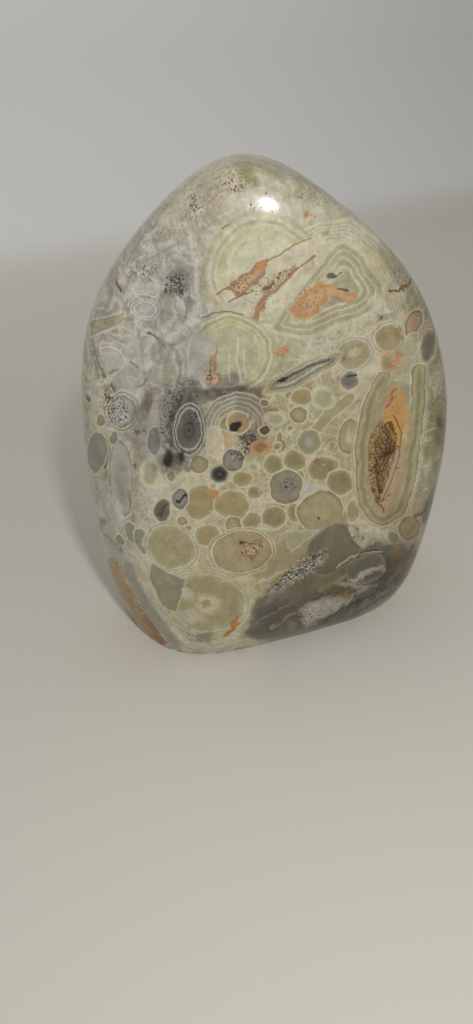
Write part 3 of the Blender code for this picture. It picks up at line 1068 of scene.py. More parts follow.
# The dome on the brow: grey on its left, yellow-green on its right, split by a rusty wedge
MIDDLE_DOME = [
    cell((230, 354), (84, 78), 0,
        [(MIDDLE, "celadon"), (-14, "celadon"), (-11, "yellow_green", 0.9), (-9, "celadon"),
         (-6, "yellow_green"), (-2.5, "olive", 0.9), (-1.0, "green_cream"), (0.5, "cream"),
         (2.0, "sage", 0.8), (5.0, "cream", 0.0)]),
    pool((200, 357), (28, 70), 0, "pale_grey", 0.95, core=0.6),
    blot((228, 380), (40, 20), 0, "slate", 0.75),
    line([(236, 338), (237, 360), (240, 384)], 1.6, "white", 0.8, soft=0.9),
    line([(243, 352), (244, 370), (246, 385)], 1.4, "white", 0.7, soft=0.9),
    line([(230, 346), (229, 366), (228, 380)], 1.2, "white", 0.5, soft=0.9),
    wedge([(212, 334), (215, 338), (218, 368), (219, 386), (204, 386), (209, 368)], 2.0,
        [(-3, "pink", 0.95), (-1, "rust", 0.8), (1.2, "umber", 0.0)], matt=0.7),
    specks((211, 374), (16, 34), 0, "brown", "peach", matt=0.5),
    line([(203, 317), (213, 313), (226, 312), (243, 314)], 1.6, "slate", 0.85),
    line([(186, 390), (204, 386), (230, 386), (256, 379)], 1.5, "cream", 0.9),
    blot((224, 392), (100, 26), -6, "slate", 0.9, core=0.3),
    blot((226, 392), (80, 16), -5, "charcoal", 0.8, core=0.3, broken=True),
    blot((236, 391), (50, 13), -5, "umber", 0.6, core=0.5, broken=True),
    blot((256, 397), (22, 26), 10, "smoke", 0.8, core=0.2),
]

# The marbled part of the left facet, and how many lines its marbling has
MARBLED_PLACE = (140, 320)
MARBLED_SIZE = (150, 240)
MARBLED_TURN = 8
MARBLING_BANDS = 12.0
# Upright streaks under the left facet: shift across, width and finish
FACET_STREAKS = [(-12, 5.0, "mid_grey"), (-7, 2.4, "white"), (-3, 4.0, "slate"), (1, 2.2, "silver"),
                 (5, 3.6, "mid_grey"), (9, 2.0, "white"), (13, 4.0, "slate")]


# The grey left facet: streaks, specks, a charcoal smudge, whorls and cracks
LEFT_FACET = [
    blot((160, 235), (24, 18), -40, "deep_olive", 0.45),
    blot((179, 237), (16, 18), 0, "pink", 0.6),
    specks((157, 238), (26, 16), -40, "deep_olive", None, 0.8),
    stroke([(184, 222), (191, 244), (197, 268), (199, 300)], 3.0, "white", 0.5, soft=2.5),
    stroke([(192, 226), (203, 248), (205, 275)], 2.4, "mid_grey", 0.5, soft=2.0),
    grains((143, 270), (44, 22), -10, "slate", "white", 0.75),
    blot((113, 277), (20, 20), 0, "pink", 0.4),
    grains((114, 276), (20, 20), 0, "slate", None, 0.6),
    blot((146, 288), (46, 20), -5, "white", 0.6, core=0.4),
    blot((177, 281), (30, 46), 10, "slate", 0.85, core=0.1),
    blot((176, 284), (24, 32), 0, "charcoal", 0.85, core=0.2),
    specks((176, 286), (30, 36), 10, "black", "pale_grey", 0.85),
    blot((165.5, 292), (5, 6), 0, "black", 0.9),
    blot((181, 294), (9, 8), 0, "black", 0.85, broken=True),
    cell((144.5, 310), (21, 14), 10, rimmed("silver", "pale_grey", rims=2, rim="white")),
    arc((143, 311), 16, 290, 190, 1.4, "white", 0.7),
    arc((143, 311), 20, 280, 150, 1.2, "white", 0.6),
    arc((173, 307), 8, 290, 190, 1.6, "silver", 0.6),
    patch([(88, 322), (115, 314), (125, 313), (124, 322), (111, 328), (90, 337)], 2.0,
        [(-6, "tan", 0.6), (-2, "olive", 0.6), (-0.8, "olive", 0.6), (0, "white", 0.8),
         (2, "white", 0.0)]),
    pool((165, 305), (26, 38), 10, "grey_green", 0.5, core=0.4),
    blot((173, 336), (24, 18), -20, "white", 0.7),
    line([(131, 328), (135, 352), (139, 378)], 7.0, "silver", 0.7, soft=2.5),
    line([(92, 337), (112, 329), (131, 322)], 1.3, "white", 0.7),
    line([(95, 333), (113, 325), (130, 318)], 1.2, "mid_grey", 0.6),
    line([(117, 281), (122, 292)], 2.0, "charcoal", 0.95),
    line([(147, 333), (154, 336), (164, 346)], 2.0, "charcoal", 0.9),
    line([(133, 319), (137, 350), (139, 372), (143, 392)], 2.0, "cream", 0.7, soft=1.2),
    patch([(139, 337), (160, 337), (176, 350), (172, 385), (150, 392), (141, 372)], 8.0,
        [(-12, "mid_grey", 0.35), (-3, "pale_grey", 0.6), (0, "mid_grey", 0.5), (2, "mid_grey", 0.0)]),
    pool((111, 361), (27, 32), 0, "silver", 0.8, core=0.6),
    arc((109, 361), 14, 330, 200, 1.8, "white", 0.8),
    arc((109, 361), 19, 340, 110, 1.4, "mid_grey", 0.6),
    stroke([(97, 352), (99, 366), (106, 377)], 1.8, "slate", 0.8),
    blot((98, 352), (7, 9), 0, "charcoal", 0.8, broken=True),
    stroke([(112, 374), (117, 370)], 2.0, "slate", 0.8),
    stroke([(129, 363), (133, 368)], 2.2, "charcoal", 0.8),
    line([(88, 386), (104, 383), (118, 374), (128, 362)], 1.4, "white", 0.6),
    pool((128, 381), (28, 42), 15, "pale_grey", 0.7, core=0.6),
    arc((124, 374), 20, 50, 90, 1.4, "silver", 0.6),
    stroke([(140, 388), (147, 379)], 2.2, "slate", 0.7),
    *(stroke([(180 + shift, 352), (183 + shift, 372), (177 + shift, 396)], width, finish, 0.6, soft=2.6)
      for shift, width, finish in FACET_STREAKS),
    blot((170, 372), (26, 50), 8, "sage", 0.5),
    stroke([(150, 338), (146, 352), (150, 366)], 5.0, "white", 0.6, soft=2.5),
    stroke([(122, 346), (128, 352), (127, 360)], 5.0, "white", 0.6, soft=2.5),
    stroke([(196, 262), (200, 292), (196, 316), (184, 332)], 3.0, "white", 0.5, soft=2.0),
    stroke([(166, 262), (158, 280), (150, 298)], 2.4, "white", 0.5, soft=1.6),
    stroke([(186, 270), (190, 296), (186, 320)], 2.0, "slate", 0.5, soft=1.4),
]


def paint_left_facet(p):
    """The marbling of the left facet, and its marks."""
    if not p.misses("frayed", [MARBLED_PLACE], max(MARBLED_SIZE) / 2):
        region = p.fade(p.around(p.frayed, MARBLED_PLACE, MARBLED_SIZE, MARBLED_TURN), 1.0, 0.7)
        lines = p.bands(p.cloud, MARBLING_BANDS)
        p.lay("white", p.math("MULTIPLY", region, p.fade(lines, 0.60, 0.92, 0.6)))
        p.lay("mid_grey", p.math("MULTIPLY", region, p.fade(lines, 0.40, 0.08, 0.5)))
    p.paint(LEFT_FACET)


# The left end's low part: long grey cells, the speckled window and the white and bluish zones
LEFT_FOOT = [
    cell((122, 411), (29, 36), 0, rimmed("pale_grey", "mid_grey", rims=2)),
    specks((120, 414), (30, 36), 0, "charcoal", "white"),
    specks((110, 399), (20, 26), 20, "black", None),
    blot((89, 399), (9, 14), 0, "charcoal", 0.85, broken=True),
    pool((148, 400), (18, 34), 6, "clay", 0.6, core=0.3),
    pool((148, 402), (12, 25), 4, "brown_grey", 0.8, core=0.5),
    cell((121, 478), (25, 80), -4, rimmed("pale_grey", "mid_grey")),
    pool((121, 482), (18, 64), -4, "mid_grey", 0.6),
    stroke([(128, 490), (131, 507), (133, 520)], 3.0, "slate", 0.6, soft=1.4),
    line([(107, 441), (108, 452), (107, 460), (105, 468)], 2.2, "black", 0.85),
    blot((112, 392), (16, 26), 15, "black", 0.7, broken=True),
    *(cell(place, size, turn, rimmed("mid_grey", "grey_green")) for place, size, turn in GREY_CELLS),
    blot((141, 430), (12, 18), 0, "charcoal", 0.8, broken=True),
    blot((143, 412), (22, 40), 12, "brown_grey", 0.6),
    line([(137, 440), (135, 470), (137, 505)], 7.0, "tan", 0.5, soft=3.0),
    blot((165, 418), (24, 66), 8, "slate", 0.55, core=0.3),
    specks((172, 415), (34, 70), 12, "black", None, 0.7),
    blot((135, 466), (7, 10), 0, "charcoal", 0.85, broken=True),
    blot((102, 523), (11, 16), 0, "slate", 0.8),
    pool((118, 512), (12, 40), -12, "white", 0.6),
    pool((116, 552), (18, 34), -20, "pale_grey", 0.9),
    stroke([(105, 534), (116, 543), (124, 552)], 2.0, "slate", 0.6),
    blot((159, 488), (26, 40), 10, "white", 0.55),
]

# The dark ringed cell, the black blobs beside it and the charcoal cell
DARK_RINGS = [
    blot((184, 402), (46, 60), 10, "slate", 0.65, core=0.2),
    stroke([(192, 384), (179, 402), (171, 424), (169, 446), (169, 462)], 9.0, "charcoal", 0.9, soft=3.0,
        broken=True),
    stroke([(175, 408), (170, 426), (169, 446), (169, 462)], 5.0, "charcoal", 0.7, soft=3.0),
    blot((194, 396), (26, 30), 12, "charcoal", 0.8, core=0.1, broken=True),
    specks((184, 402), (56, 60), 10, "black", None, 0.6),
    stroke([(196, 384), (186, 396), (180, 410)], 3.0, "mid_grey", 0.6, soft=2.0),
    blot((172, 462), (44, 30), 0, "charcoal", 0.75, core=0.2),
    cell((188.3, 430), (27, 43), 4,
        [(MIDDLE, "black"), (-13.5, "slate"), (-12, "charcoal"), (-9.5, "smoke"), (-6, "slate"),
         (-2, "slate"), (-1, "silver"), (-0.3, "silver"), (0.7, "slate"), (2.0, "slate"), (2.8, "cream"),
         (3.4, "cream", 0.9), (4.6, "charcoal", 0.5), (7.0, "slate", 0.0)]),
    grains((191, 419), (22, 20), 0, "black", None),
    blot((168, 459), (15, 22), 0, "black", 0.95, core=0.4),
    blot((180, 459), (13, 17), 0, "black", 0.9, core=0.3),
    blot((188, 466), (12, 12), 0, "slate", 0.6),
    cell((219.5, 474.3), (17, 16), 0, rimmed("black", "charcoal", heart="charcoal", rim="mid_grey")),
    cell((180, 499.5), (17, 23), 0, rimmed("mid_grey", "slate")),
    stroke([(178, 502), (184, 498)], 3.0, "black", 0.95),
    cell((162.7, 511), (17, 24), 5, rimmed("smoke", "brown_grey")),
    stroke([(160, 516), (166, 508)], 1.6, "black", 0.8),
]

# The centre's cells by kind, with their body and shade, and its arcs by radius
CENTRE_CELLS = [(PALE_CELLS, "sage", "green_cream"), (TAN_CELLS, "tan", "olive"),
                (OLIVE_CELLS, "olive", "deep_olive"), (DEEP_CELLS, "deep_olive", "olive")]
BLOB_ARCS = [(17, "cream"), (22, "silver"), (26.5, "cream"), (31, "silver"), (35.5, "cream")]

# The centre: cream windows, rusty and olive cells, and the cell with the black blob and its arcs
CENTRE = [
    patch([(205, 428), (218, 426), (223, 440), (222, 452), (217, 459), (207, 454), (204, 441)], 3.0,
        [(-7, "warm_cream"), (-1.4, "cream"), (-0.4, "white"), (0.4, "white"), (1.5, "white", 0.0)]),
    blot((226, 440), (12, 20), 0, "peach", 0.8),
    blot((249, 441), (26, 26), 0, "smoke", 0.8),
    specks((247, 442), (30, 24), 0, "black", "white"),
    arc((237, 430), 29, 275, 170, 17.0, "mid_grey", 0.75, soft=3.0),
    *(arc((237, 428), radius, 275, 190, 1.6, finish, 0.85) for radius, finish in BLOB_ARCS),
    blot((252, 440), (40, 30), 30, "charcoal", 0.75, core=0.2, broken=True),
    cell((239, 423), (22, 23), 0, rimmed("pink", "peach", rim="white")),
    blot((236.5, 427), (15, 15), 0, "black", core=0.6),
    blot((250, 423), (8, 20), 10, "rust", 0.7, broken=True),
    cell((264.3, 404), (9, 8), 0, rimmed("tan", "brown_grey")),
    blot((272, 411), (22, 9), -8, "rust", 0.7, broken=True),
    cell((264.3, 430.5), (12, 8), 0, rimmed("smoke", "umber")),
    *(cell(place, size, turn, rimmed(body, shade))
      for cells, body, shade in CENTRE_CELLS for place, size, turn in cells),
    cell((261, 446.8), (21, 16), 0, rimmed("clay", "peach", rim="peach")),
    cell((233, 460), (25, 23), 0, rimmed("mid_grey", "slate")),
    specks((237, 454), (22, 16), 0, "black", "pale_grey", 0.9),
    blot((230, 466), (14, 8), 0, "clay", 0.6),
    cell((310, 441.5), (26, 26), 0, rimmed("grey_green", "olive", heart="pale_grey")),
    pool((348.5, 437), (8, 22), 5, "green_cream", 0.7),
    cell((286.5, 487.3), (36, 35), 0, rimmed("grey_green", "brown_grey", heart="slate")),
    specks((288, 483), (26, 22), 0, "black", "pale_grey", 0.6),
    blot((286, 489), (6, 5), 0, "black", 0.9),
    patch([(304, 481), (326, 488), (304, 509), (300, 500)], 2.0,
        [(-3, "silver"), (0, "cream"), (1.5, "cream", 0.0)]),
    cell((320, 512), (46, 42), -20, rimmed("olive", "deep_olive")),
    pool((318.6, 518.5), (4, 4), 0, "black"),
    blot((315, 460), (8, 7), 0, "rust", 0.9),
    grains((322, 467), (10, 6), 0, None, "white"),
    blot((214.5, 493.5), (12, 18), 0, "orange", 0.85, core=0.3),
    blot((259, 504.5), (10, 7), -20, "orange", 0.7, broken=True),
    pool((262, 484), (13, 26), 0, "sage", 0.6),
]

# The large olive cells of the lower face, their orange inclusion and the cream wedges between
LOWER_FACE = [
    cell((171.5, 547), (50, 41), 25, rimmed("olive", "sage", rims=2)),
    line([(262, 566), (300, 549), (336, 528)], 30.0, "olive", 0.95, soft=2.5),
    line([(258, 583), (300, 562), (345, 534)], 2.2, "green_cream", 0.9, soft=1.2),
    cell((242, 552), (62, 44), -8, rimmed("olive", "tan", heart="tan", rims=2)),
    pool((300, 553), (90, 26), -28, "olive", 0.9, core=0.6),
    wedge([(238, 543), (262, 542), (264, 548), (252, 560), (246, 555)], 2.0,
        [(-3, "peach"), (0, "rust", 0.9), (1.2, "umber", 0.0)], matt=0.9),
    specks((252, 549), (24, 18), 0, "brown", "white", matt=0.7),
    stroke([(238, 546), (243, 545)], 2.6, "black", 0.9),
    patch([(286, 532), (322, 530), (291, 551)], 1.5,
        [(-3, "sage"), (-1.4, "sage"), (-0.4, "silver", 0.9), (0.4, "silver", 0.9), (1.4, "cream", 0.0)]),
    patch([(261, 520), (269, 525), (279, 528), (259, 529)], 1.5,
        [(-2, "silver"), (0, "cream", 0.9), (1.5, "cream", 0.0)]),
    cell((207, 603), (92, 66), 10,
        [(MIDDLE, "tan", 0.8), (-33, "green_cream", 0.9), (-24, "olive", 0.9), (-14, "olive", 0.9),
         (-8, "sage", 0.9), (-5, "cream", 0.9), (-3.5, "sage", 0.9), (-1.5, "cream", 0.9),
         (0, "sage", 0.8), (2, "cream", 0.8), (3, "sage", 0.6), (5, "cream", 0.0)]),
    patch([(150, 562), (162, 567), (186, 580), (176, 613), (158, 603), (148, 580)], 4.0,
        [(-8, "grey_green"), (-1.2, "grey_green"), (0, "cream", 0.9), (1.6, "cream", 0.0)]),
    blot((186, 595), (20, 16), -20, "white", 0.7),
    blot((190, 616), (34, 20), 10, "white", 0.6),
    blot((206, 603), (11, 9), 0, "tan", 0.9),
    blot((205, 637), (34, 14), -8, "brown_grey", 0.85),
    specks((189, 634), (9, 14), 0, "black", None, 0.8),
    stroke([(227, 637), (233, 629), (238, 620)], 5.0, "amber", 0.95, soft=1.6, matt=0.5),
    stroke([(230, 633), (234, 629)], 2.2, "rust", 0.9),
    *(line([(222 + inset, 583 - inset / 2), (246, 577 + inset / 2), (254 - inset / 2, 586 + inset)],
           1.4, "cream", 0.8) for inset in (0, 4.5, 9)),
]

# The dark right corner of the foot: grey-green capsule, pitted strip, charcoal and white drifts
DARK_CORNER = [
    wedge([(248, 640), (252, 596), (300, 566), (345, 534), (372, 540), (404, 528), (428, 520), (420, 575),
        (395, 625), (300, 645)], 6.0,
        [(-14, "smoke"), (-3, "moss", 0.95), (2, "grey_green", 0.0)]),
    blot((300, 590), (90, 34), -30, "brown_grey", 0.7),
    blot((272, 614), (60, 46), -30, "charcoal", 0.8, core=0.2),
    blot((262, 632), (60, 20), -12, "charcoal", 0.6),
    blot((372, 604), (90, 34), -28, "charcoal", 0.8, core=0.2),
    blot((328, 580), (56, 24), -30, "deep_olive", 0.85),
    blot((403, 562), (34, 54), 14, "brown_grey", 0.8),
    blot((398, 548), (18, 24), 10, "honey", 0.4),
    cell((333, 549), (44, 60), 48, rimmed("moss", "moss", rim="grey_green")),
    line([(276, 587), (298, 573), (319, 557)], 13.0, "mid_grey", 0.95, soft=2.0, matt=0.6),
    line([(270, 583), (298, 566), (322, 548)], 1.8, "clay", 0.8),
    specks((299, 571), (86, 24), -34, "black", "white", matt=0.6),
    specks((284, 580), (18, 16), -34, "black", "white"),
    cell((366, 569), (40, 27), -27, rimmed("slate", "brown_grey", rim="mid_grey")),
    blot((370, 572), (30, 14), -30, "charcoal", 0.8),
    stroke([(352, 582), (366, 573), (382, 567)], 5.0, "white", 0.85, soft=2.0),
    line([(338, 568), (350, 558), (364, 552), (382, 551)], 2.0, "cream", 0.95),
    stroke([(356, 556), (368, 550), (382, 552)], 2.0, "black", 0.8),
    wedge([(300, 600), (322, 598), (352, 586), (350, 602), (330, 616), (304, 630)], 5.0,
        [(-6, "white", 0.9), (-1, "pale_grey", 0.8), (2, "pale_grey", 0.0)]),
    blot((312, 614), (34, 22), -25, "white", 0.7),
    specks((312, 618), (36, 24), -30, "charcoal", "white", 0.9),
    blot((344, 595), (11, 14), 20, "amber", 0.8, broken=True),
    stroke([(326, 622), (334, 614), (350, 602)], 2.6, "black", 0.85, broken=True),
    patch([(341, 527), (352, 526), (366, 538), (362, 550), (356, 548), (353, 538)], 2.0,
        [(-3, "pale_grey", 0.9), (0, "cream", 0.9), (1.5, "cream", 0.0)]),
    specks((356, 536), (20, 24), 0, "black", None, 0.8),
    specks((388, 530), (14, 12), 0, "black", None),
    blot((291, 626), (12, 12), 0, "tan", 0.7),
    *(stroke([start, end], width, finish, 0.8, soft=width / 2)
      for start, end, width, finish in CORNER_STREAKS),
    specks((330, 612), (170, 60), -20, "black", "pale_grey", 0.2),
]

# The nested olive and cream bands round the cavity, and the orange above it
CAVITY_SURROUND = [
    line([(404, 350), (400, 392), (392, 430)], 22.0, "sage", 0.8, soft=6.0),
    course([(384, 378), (369, 410), (362, 445), (362, 482), (366, 503), (375, 516), (386, 519),
        (397, 512), (405, 494), (413, 450), (419, 400), (419, 372)],
        [(0, "deep_olive"), (2.4, "olive"), (4.2, "sage"), (5.2, "olive"), (6.6, "deep_olive"),
         (7.4, "cream"), (8.4, "cream", 0.9), (9.4, "olive", 0.6), (10.4, "cream", 0.6),
         (12, "cream", 0.0)]),
    patch([(388, 384), (408, 384), (410, 440), (400, 490), (386, 514), (374, 510), (366, 470),
        (371, 415)], 8.0,
        [(-12, "olive"), (0, "olive"), (3, "olive", 0.0)]),
    wedge([(394, 385), (403, 392), (408, 412), (407, 438), (400, 452), (388, 440), (381, 425),
        (385, 404)], 4.0,
        [(-6, "gold"), (-2, "gold", 0.95), (0.5, "peach", 0.8), (3, "peach", 0.0)], matt=0.3),
    pool((402, 434), (13, 36), 4, "peach", 0.8),
    pool((404, 440), (9, 24), 4, "warm_cream", 0.6),
    specks((390, 404), (12, 36), 12, "rust", None, 0.6),
    cell((387.6, 362), (14, 20), 0, rimmed("tan", "peach", rim="peach")),
    blot((401.5, 357), (17, 22), 10, "orange", 0.9, broken=True, matt=0.5),
    blot((398, 338), (18, 34), 0, "clay", 0.7, broken=True),
    stroke([(396, 388), (391, 396), (386, 408)], 1.8, "rust", 0.85),
    specks((394, 370), (16, 46), 5, "rust", None, 0.7),
    patch([(393, 440), (404, 440), (403, 468), (393, 494), (384, 508), (380, 500), (386, 470)], 5.0,
        [(-6, "pink"), (-1, "pink"), (1, "peach", 0.7), (3, "peach", 0.0)]),
    stroke([(376, 496), (380, 505), (383, 510)], 3.0, "umber", 0.9, soft=1.0),
    pool((430, 403), (10, 12), 0, "moss", 0.5, core=0.5),
    pool((427, 457), (8, 10), 0, "moss", 0.5, core=0.5),
    stroke([(396, 468.5), (401, 467)], 2.0, "charcoal", 0.9),
    specks((387, 498), (7, 12), 0, "charcoal", None, 0.9),
    line([(420, 437), (428, 431), (438, 428)], 1.6, "cream", 0.9),
    line([(408, 540), (412, 500), (422, 460), (420, 437)], 1.4, "cream", 0.6),
    blot((440, 432), (16, 60), 0, "moss", 0.8),
    blot((440, 425), (12, 18), 0, "charcoal", 0.85),
    cell((410, 528), (18, 23), 20, rimmed("tan", "olive", rim="clay")),
    blot((430, 508), (18, 50), 16, "charcoal", 0.85),
    stroke([(415, 514), (424, 510)], 2.4, "charcoal", 0.85),
]

# The orange strip down the left foot, its grey-blue neighbour and the chipped rim
ORANGE_STRIP = [
    line([(127, 566), (146, 606), (176, 645)], 10.0, "mid_grey", 0.85, soft=2.5),
    line([(133, 564), (152, 604), (182, 643)], 1.6, "silver", 0.7, soft=1.0),
    line([(140, 562), (158, 600), (186, 640)], 2.0, "cream", 0.95, soft=0.8),
    stroke([(113, 566), (126, 592), (142, 622), (162, 648)], 14.0, "peach", soft=1.6, matt=0.7),
    stroke([(109, 572), (122, 600), (138, 628), (156, 648)], 3.0, "clay", 0.6, soft=2.0),
    stroke([(146, 618), (156, 634), (166, 648)], 7.0, "rust", 0.95, soft=2.0, matt=0.6),
    stroke([(120, 575), (132, 600), (150, 628)], 1.4, "rust", 0.7),
    specks((136, 612), (26, 80), -28, "charcoal", "warm_cream", 0.6, matt=0.5),
    specks((114, 563), (12, 12), 0, "black", "white"),
    stroke([(166, 646), (180, 651), (194, 656), (208, 658), (222, 655), (236, 650)], 3.0, "white", 0.9,
        soft=1.2, matt=0.8),
    stroke([(168, 648), (181, 652), (195, 656), (212, 657), (226, 652)], 1.8, "black", 0.8, broken=True,
        matt=0.8),
    line([(236, 650), (262, 643)], 1.4, "slate", 0.7),
]


# What is painted on the front, from the lowest layer to the topmost
FRONT_LAYERS = {
    "ground": paint_ground,
    "crown": CROWN,
    "high dome": HIGH_DOME,
    "orange leaves": ORANGE_LEAVES,
    "left facet": paint_left_facet,
    "middle dome": MIDDLE_DOME,
    "triangular eye": TRIANGULAR_EYE,
    "right shoulder": RIGHT_SHOULDER,
    "streaked ledge": STREAKED_LEDGE,
    "left foot": LEFT_FOOT,
    "centre": CENTRE,
    "dark rings": DARK_RINGS,
    "lower face": LOWER_FACE,
    "cavity surround": CAVITY_SURROUND,
    "dark corner": DARK_CORNER,
    "orange strip": ORANGE_STRIP,
    "shade": paint_shade_and_dark_tones,
}


# The sides and the back

# The back's marks in millimetres as seen from behind: across to the right, and down from the floor level
BACK_CELLS = [
    ((-38, -52), (15, 17), 10), ((-22, -44), (12, 11), 0), ((-30, -70), (10, 9), 0),
    ((-47, -72), (9, 14), -10), ((-12, -60), (17, 15), 15), ((4, -47), (9, 8), 0), ((-18, -78), (8, 8), 0),
    ((16, -60), (12, 14), -15), ((30, -46), (18, 13), 12), ((2, -74), (11, 10), 0), ((22, -78), (8, 7), 0),
    ((40, -66), (11, 16), 8), ((-8, -32), (16, 10), 5), ((-34, -28), (20, 13), -12),
    ((20, -28), (14, 11), 0), ((46, -30), (10, 15), 18),
]
BACK_GREY_CELLS = [
    ((-56, -100), (12, 22), 10), ((-52, -50), (8, 13), 5), ((52, -92), (12, 20), -12),
    ((-2, -90), (9, 8), 0), ((34, -88), (10, 8), 20),
]

# How the back's places are stirred: lump size and reach in millimetres
BACK_WAVE = (7.0, (1.4, 1.4, 0.0))


def back_places(p):
    """Millimetres on the stone as seen from behind: across to the right, down, and 1."""
    axes = p.node("ShaderNodeSeparateXYZ", p.mm).outputs
    across = p.math("MULTIPLY", axes["X"], -1.0)
    down = p.math("MULTIPLY", axes["Z"], -1.0)
    level = p.node("ShaderNodeCombineXYZ", across, down, 1.0).outputs[0]
    return p.stirred(level, p.stirred_mm, *BACK_WAVE)


# What runs all through the stone: sizes in millimetres, numbers of bands, and kinds of cell
WILD_LEVEL_SIZE = 62.0
WILD_BROAD_BANDS = 34.0
WILD_FINE_BANDS = 91.0
LARGE_ORB_SPACING = 27.0
LARGE_ORB_SIZES = (0.20, 0.44)
LARGE_ORB_KINDS = ("olive", "sage", "mid_grey", "grey_green", "tan")
SMALL_ORB_KINDS = ("sage", "olive", "pale_grey", "brown_grey", "olive")
BACK_ORB_KINDS = ("olive", "sage", "tan", "deep_olive", "grey_green")
ORB_PATCH_SIZE = 40.0
DRIFT_SIZE = 34.0
RUST_SIZE = 21.0
CRACK_SIZE = 48.0


def paint_wild(p):
    """Bands, cells, drifts of grey and rusty flecks that run all through the stone."""
    level = p.noise(p.stirred_mm, WILD_LEVEL_SIZE, detail=2.0)
    p.colour = p.ramp(level, [(0.30, tone("mid_grey")), (0.40, tone("pale_grey")), (0.48, tone("cream")),
                              (0.55, tone("green_cream")), (0.62, tone("sage")), (0.72, tone("olive"))])[0]
    p.lay("sage", p.fade(p.bands(level, WILD_BROAD_BANDS), 0.35, 0.95, 0.55))
    p.lay("cream", p.fade(p.bands(level, WILD_FINE_BANDS), 0.55, 0.95, 0.40))
    p.crowd(*p.orbs(p.stirred_mm, LARGE_ORB_SPACING, *LARGE_ORB_SIZES), LARGE_ORB_KINDS, "cream")
    patches = p.fade(p.noise(p.stirred_mm, ORB_PATCH_SIZE), 0.42, 0.50)
    p.crowd(p.orb_ratio, p.orb_kind, SMALL_ORB_KINDS, "white", patches)
    drift = p.noise(p.stirred_mm, DRIFT_SIZE, detail=5.0)
    p.lay("slate", p.fade(drift, 0.56, 0.70, 0.8))
    p.lay("charcoal", p.math("MULTIPLY", p.fade(drift, 0.60, 0.72), p.dark_grit))
    rust = p.noise(p.stirred_mm, RUST_SIZE, detail=4.0)
    p.lay("peach", p.fade(rust, 0.60, 0.68, 0.8))
    p.lay("rust", p.math("MULTIPLY", p.fade(rust, 0.61, 0.70), p.broken))
    crack = p.off_middle(p.noise(p.stirred_mm, CRACK_SIZE, detail=3.0))
    p.lay("umber", p.fade(crack, 0.0032, 0.0008, 0.8))


# The back's banded dome, diamond eye, cells, rusty wedges and cracks
BACK_MARKS = [
    cell((-14, -132), (62, 56), 12,
        [(MIDDLE, "green_cream"), (-19, "green_cream"), (-17, "yellow_green", 0.9), (-15, "green_cream"),
         (-12, "olive", 0.9), (-10, "cream"), (-8.5, "sage"), (-6, "green_cream"), (-4.5, "olive", 0.9),
         (-3, "cream"), (-1, "sage", 0.9), (0, "cream"), (1.0, "olive", 0.7), (3.0, "cream", 0.0)]),
    patch([(14, -118), (34, -146), (58, -126), (48, -104), (24, -102)], 6.0,
        [(-14, "peach"), (-10, "orange"), (-8.5, "cream"), (-7, "olive"), (-5.5, "cream"), (-4.5, "sage"),
         (-2.5, "olive"), (-1.5, "cream"), (0, "sage", 0.9), (2.5, "cream", 0.0)]),
    stroke([(-30, -112), (-12, -106), (8, -110)], 3.4, "orange", 0.9, soft=1.0, broken=True, matt=0.6),
    stroke([(-30, -112), (-12, -106), (8, -110), (18, -106)], 0.7, "rust", 0.9, soft=0.3),
    blot((-48, -120), (26, 34), 10, "slate", 0.7, core=0.1),
    blot((54, -60), (22, 30), -10, "slate", 0.6, core=0.1),
    *(cell(place, size, turn, fine_rimmed("olive", "sage")) for place, size, turn in BACK_CELLS),
    *(cell(place, size, turn, fine_rimmed("mid_grey", "slate")) for place, size, turn in BACK_GREY_CELLS),
    specks((-48, -120), (22, 28), 10, "black", "pale_grey", 0.8),
    blot((16, -60), (5, 6), 0, "orange", 0.8, broken=True),
    stroke([(-2, -150), (4, -160), (16, -168)], 0.8, "charcoal", 0.8, soft=0.3),
    stroke([(-58, -78), (-50, -84), (-46, -92)], 0.8, "charcoal", 0.8, soft=0.3),
    blot((0, -8), (130, 22), 0, "brown_grey", 0.5, core=0.2),
]

# The back's pale middle and its crowd of small cells
BACK_GROUND = blot((0, -56), (150, 116), 0, "cream", 0.7, core=0.5)
BACK_CROWD_PLACE = (-2, -55)
BACK_CROWD_SIZE = (124, 92)


def paint_back(p):
    """The back: a pale middle, a crowd of small cells, and its own marks."""
    p.front = p.frayed = p.back
    p.paint([BACK_GROUND])
    region = p.fade(p.around(p.back, BACK_CROWD_PLACE, BACK_CROWD_SIZE), 1.0, 0.9)
    p.crowd(p.orb_ratio, p.orb_kind, BACK_ORB_KINDS, "white", region)
    p.paint(BACK_MARKS)


# Materials

def new_material(name, window=None):
    """A material with nodes, the painter that works in it, and its shader."""
    material = bpy.data.materials.new(name)
    material.use_nodes = True
    p = Painter(material.node_tree, window)
    p.coordinates = p.node("ShaderNodeTexCoord").outputs["Object"]
    p.mm = p.scaled(p.coordinates, 1.0 / MM)
    return material, p, material.node_tree.nodes["Principled BSDF"]


def add_bump(p, shader, height, strength, depth):
    """Fine relief on a shader from a height between 0 and 1, this deep in metres."""
    bump = p.node("ShaderNodeBump")
    p.feed(bump.inputs["Height"], height)
    p.feed(bump.inputs["Strength"], strength)
    bump.inputs["Distance"].default_value = depth
    p.feed(shader.inputs["Normal"], bump.outputs["Normal"])


# The onyx's grain and figure: how large the lumps of each noise are, in millimetres
GRIT_SIZE = 0.8
MOTTLE_SIZE = 1.3
GAP_SIZE = 2.6
HAZE_SIZE = 4.5
CLOUD_SIZE = 11.0
VEIN_SIZE = 15.0
LEVEL_SIZE = 26.0
SMALL_ORB_SPACING = 7.5
SMALL_ORB_SIZES = (0.26, 0.60)
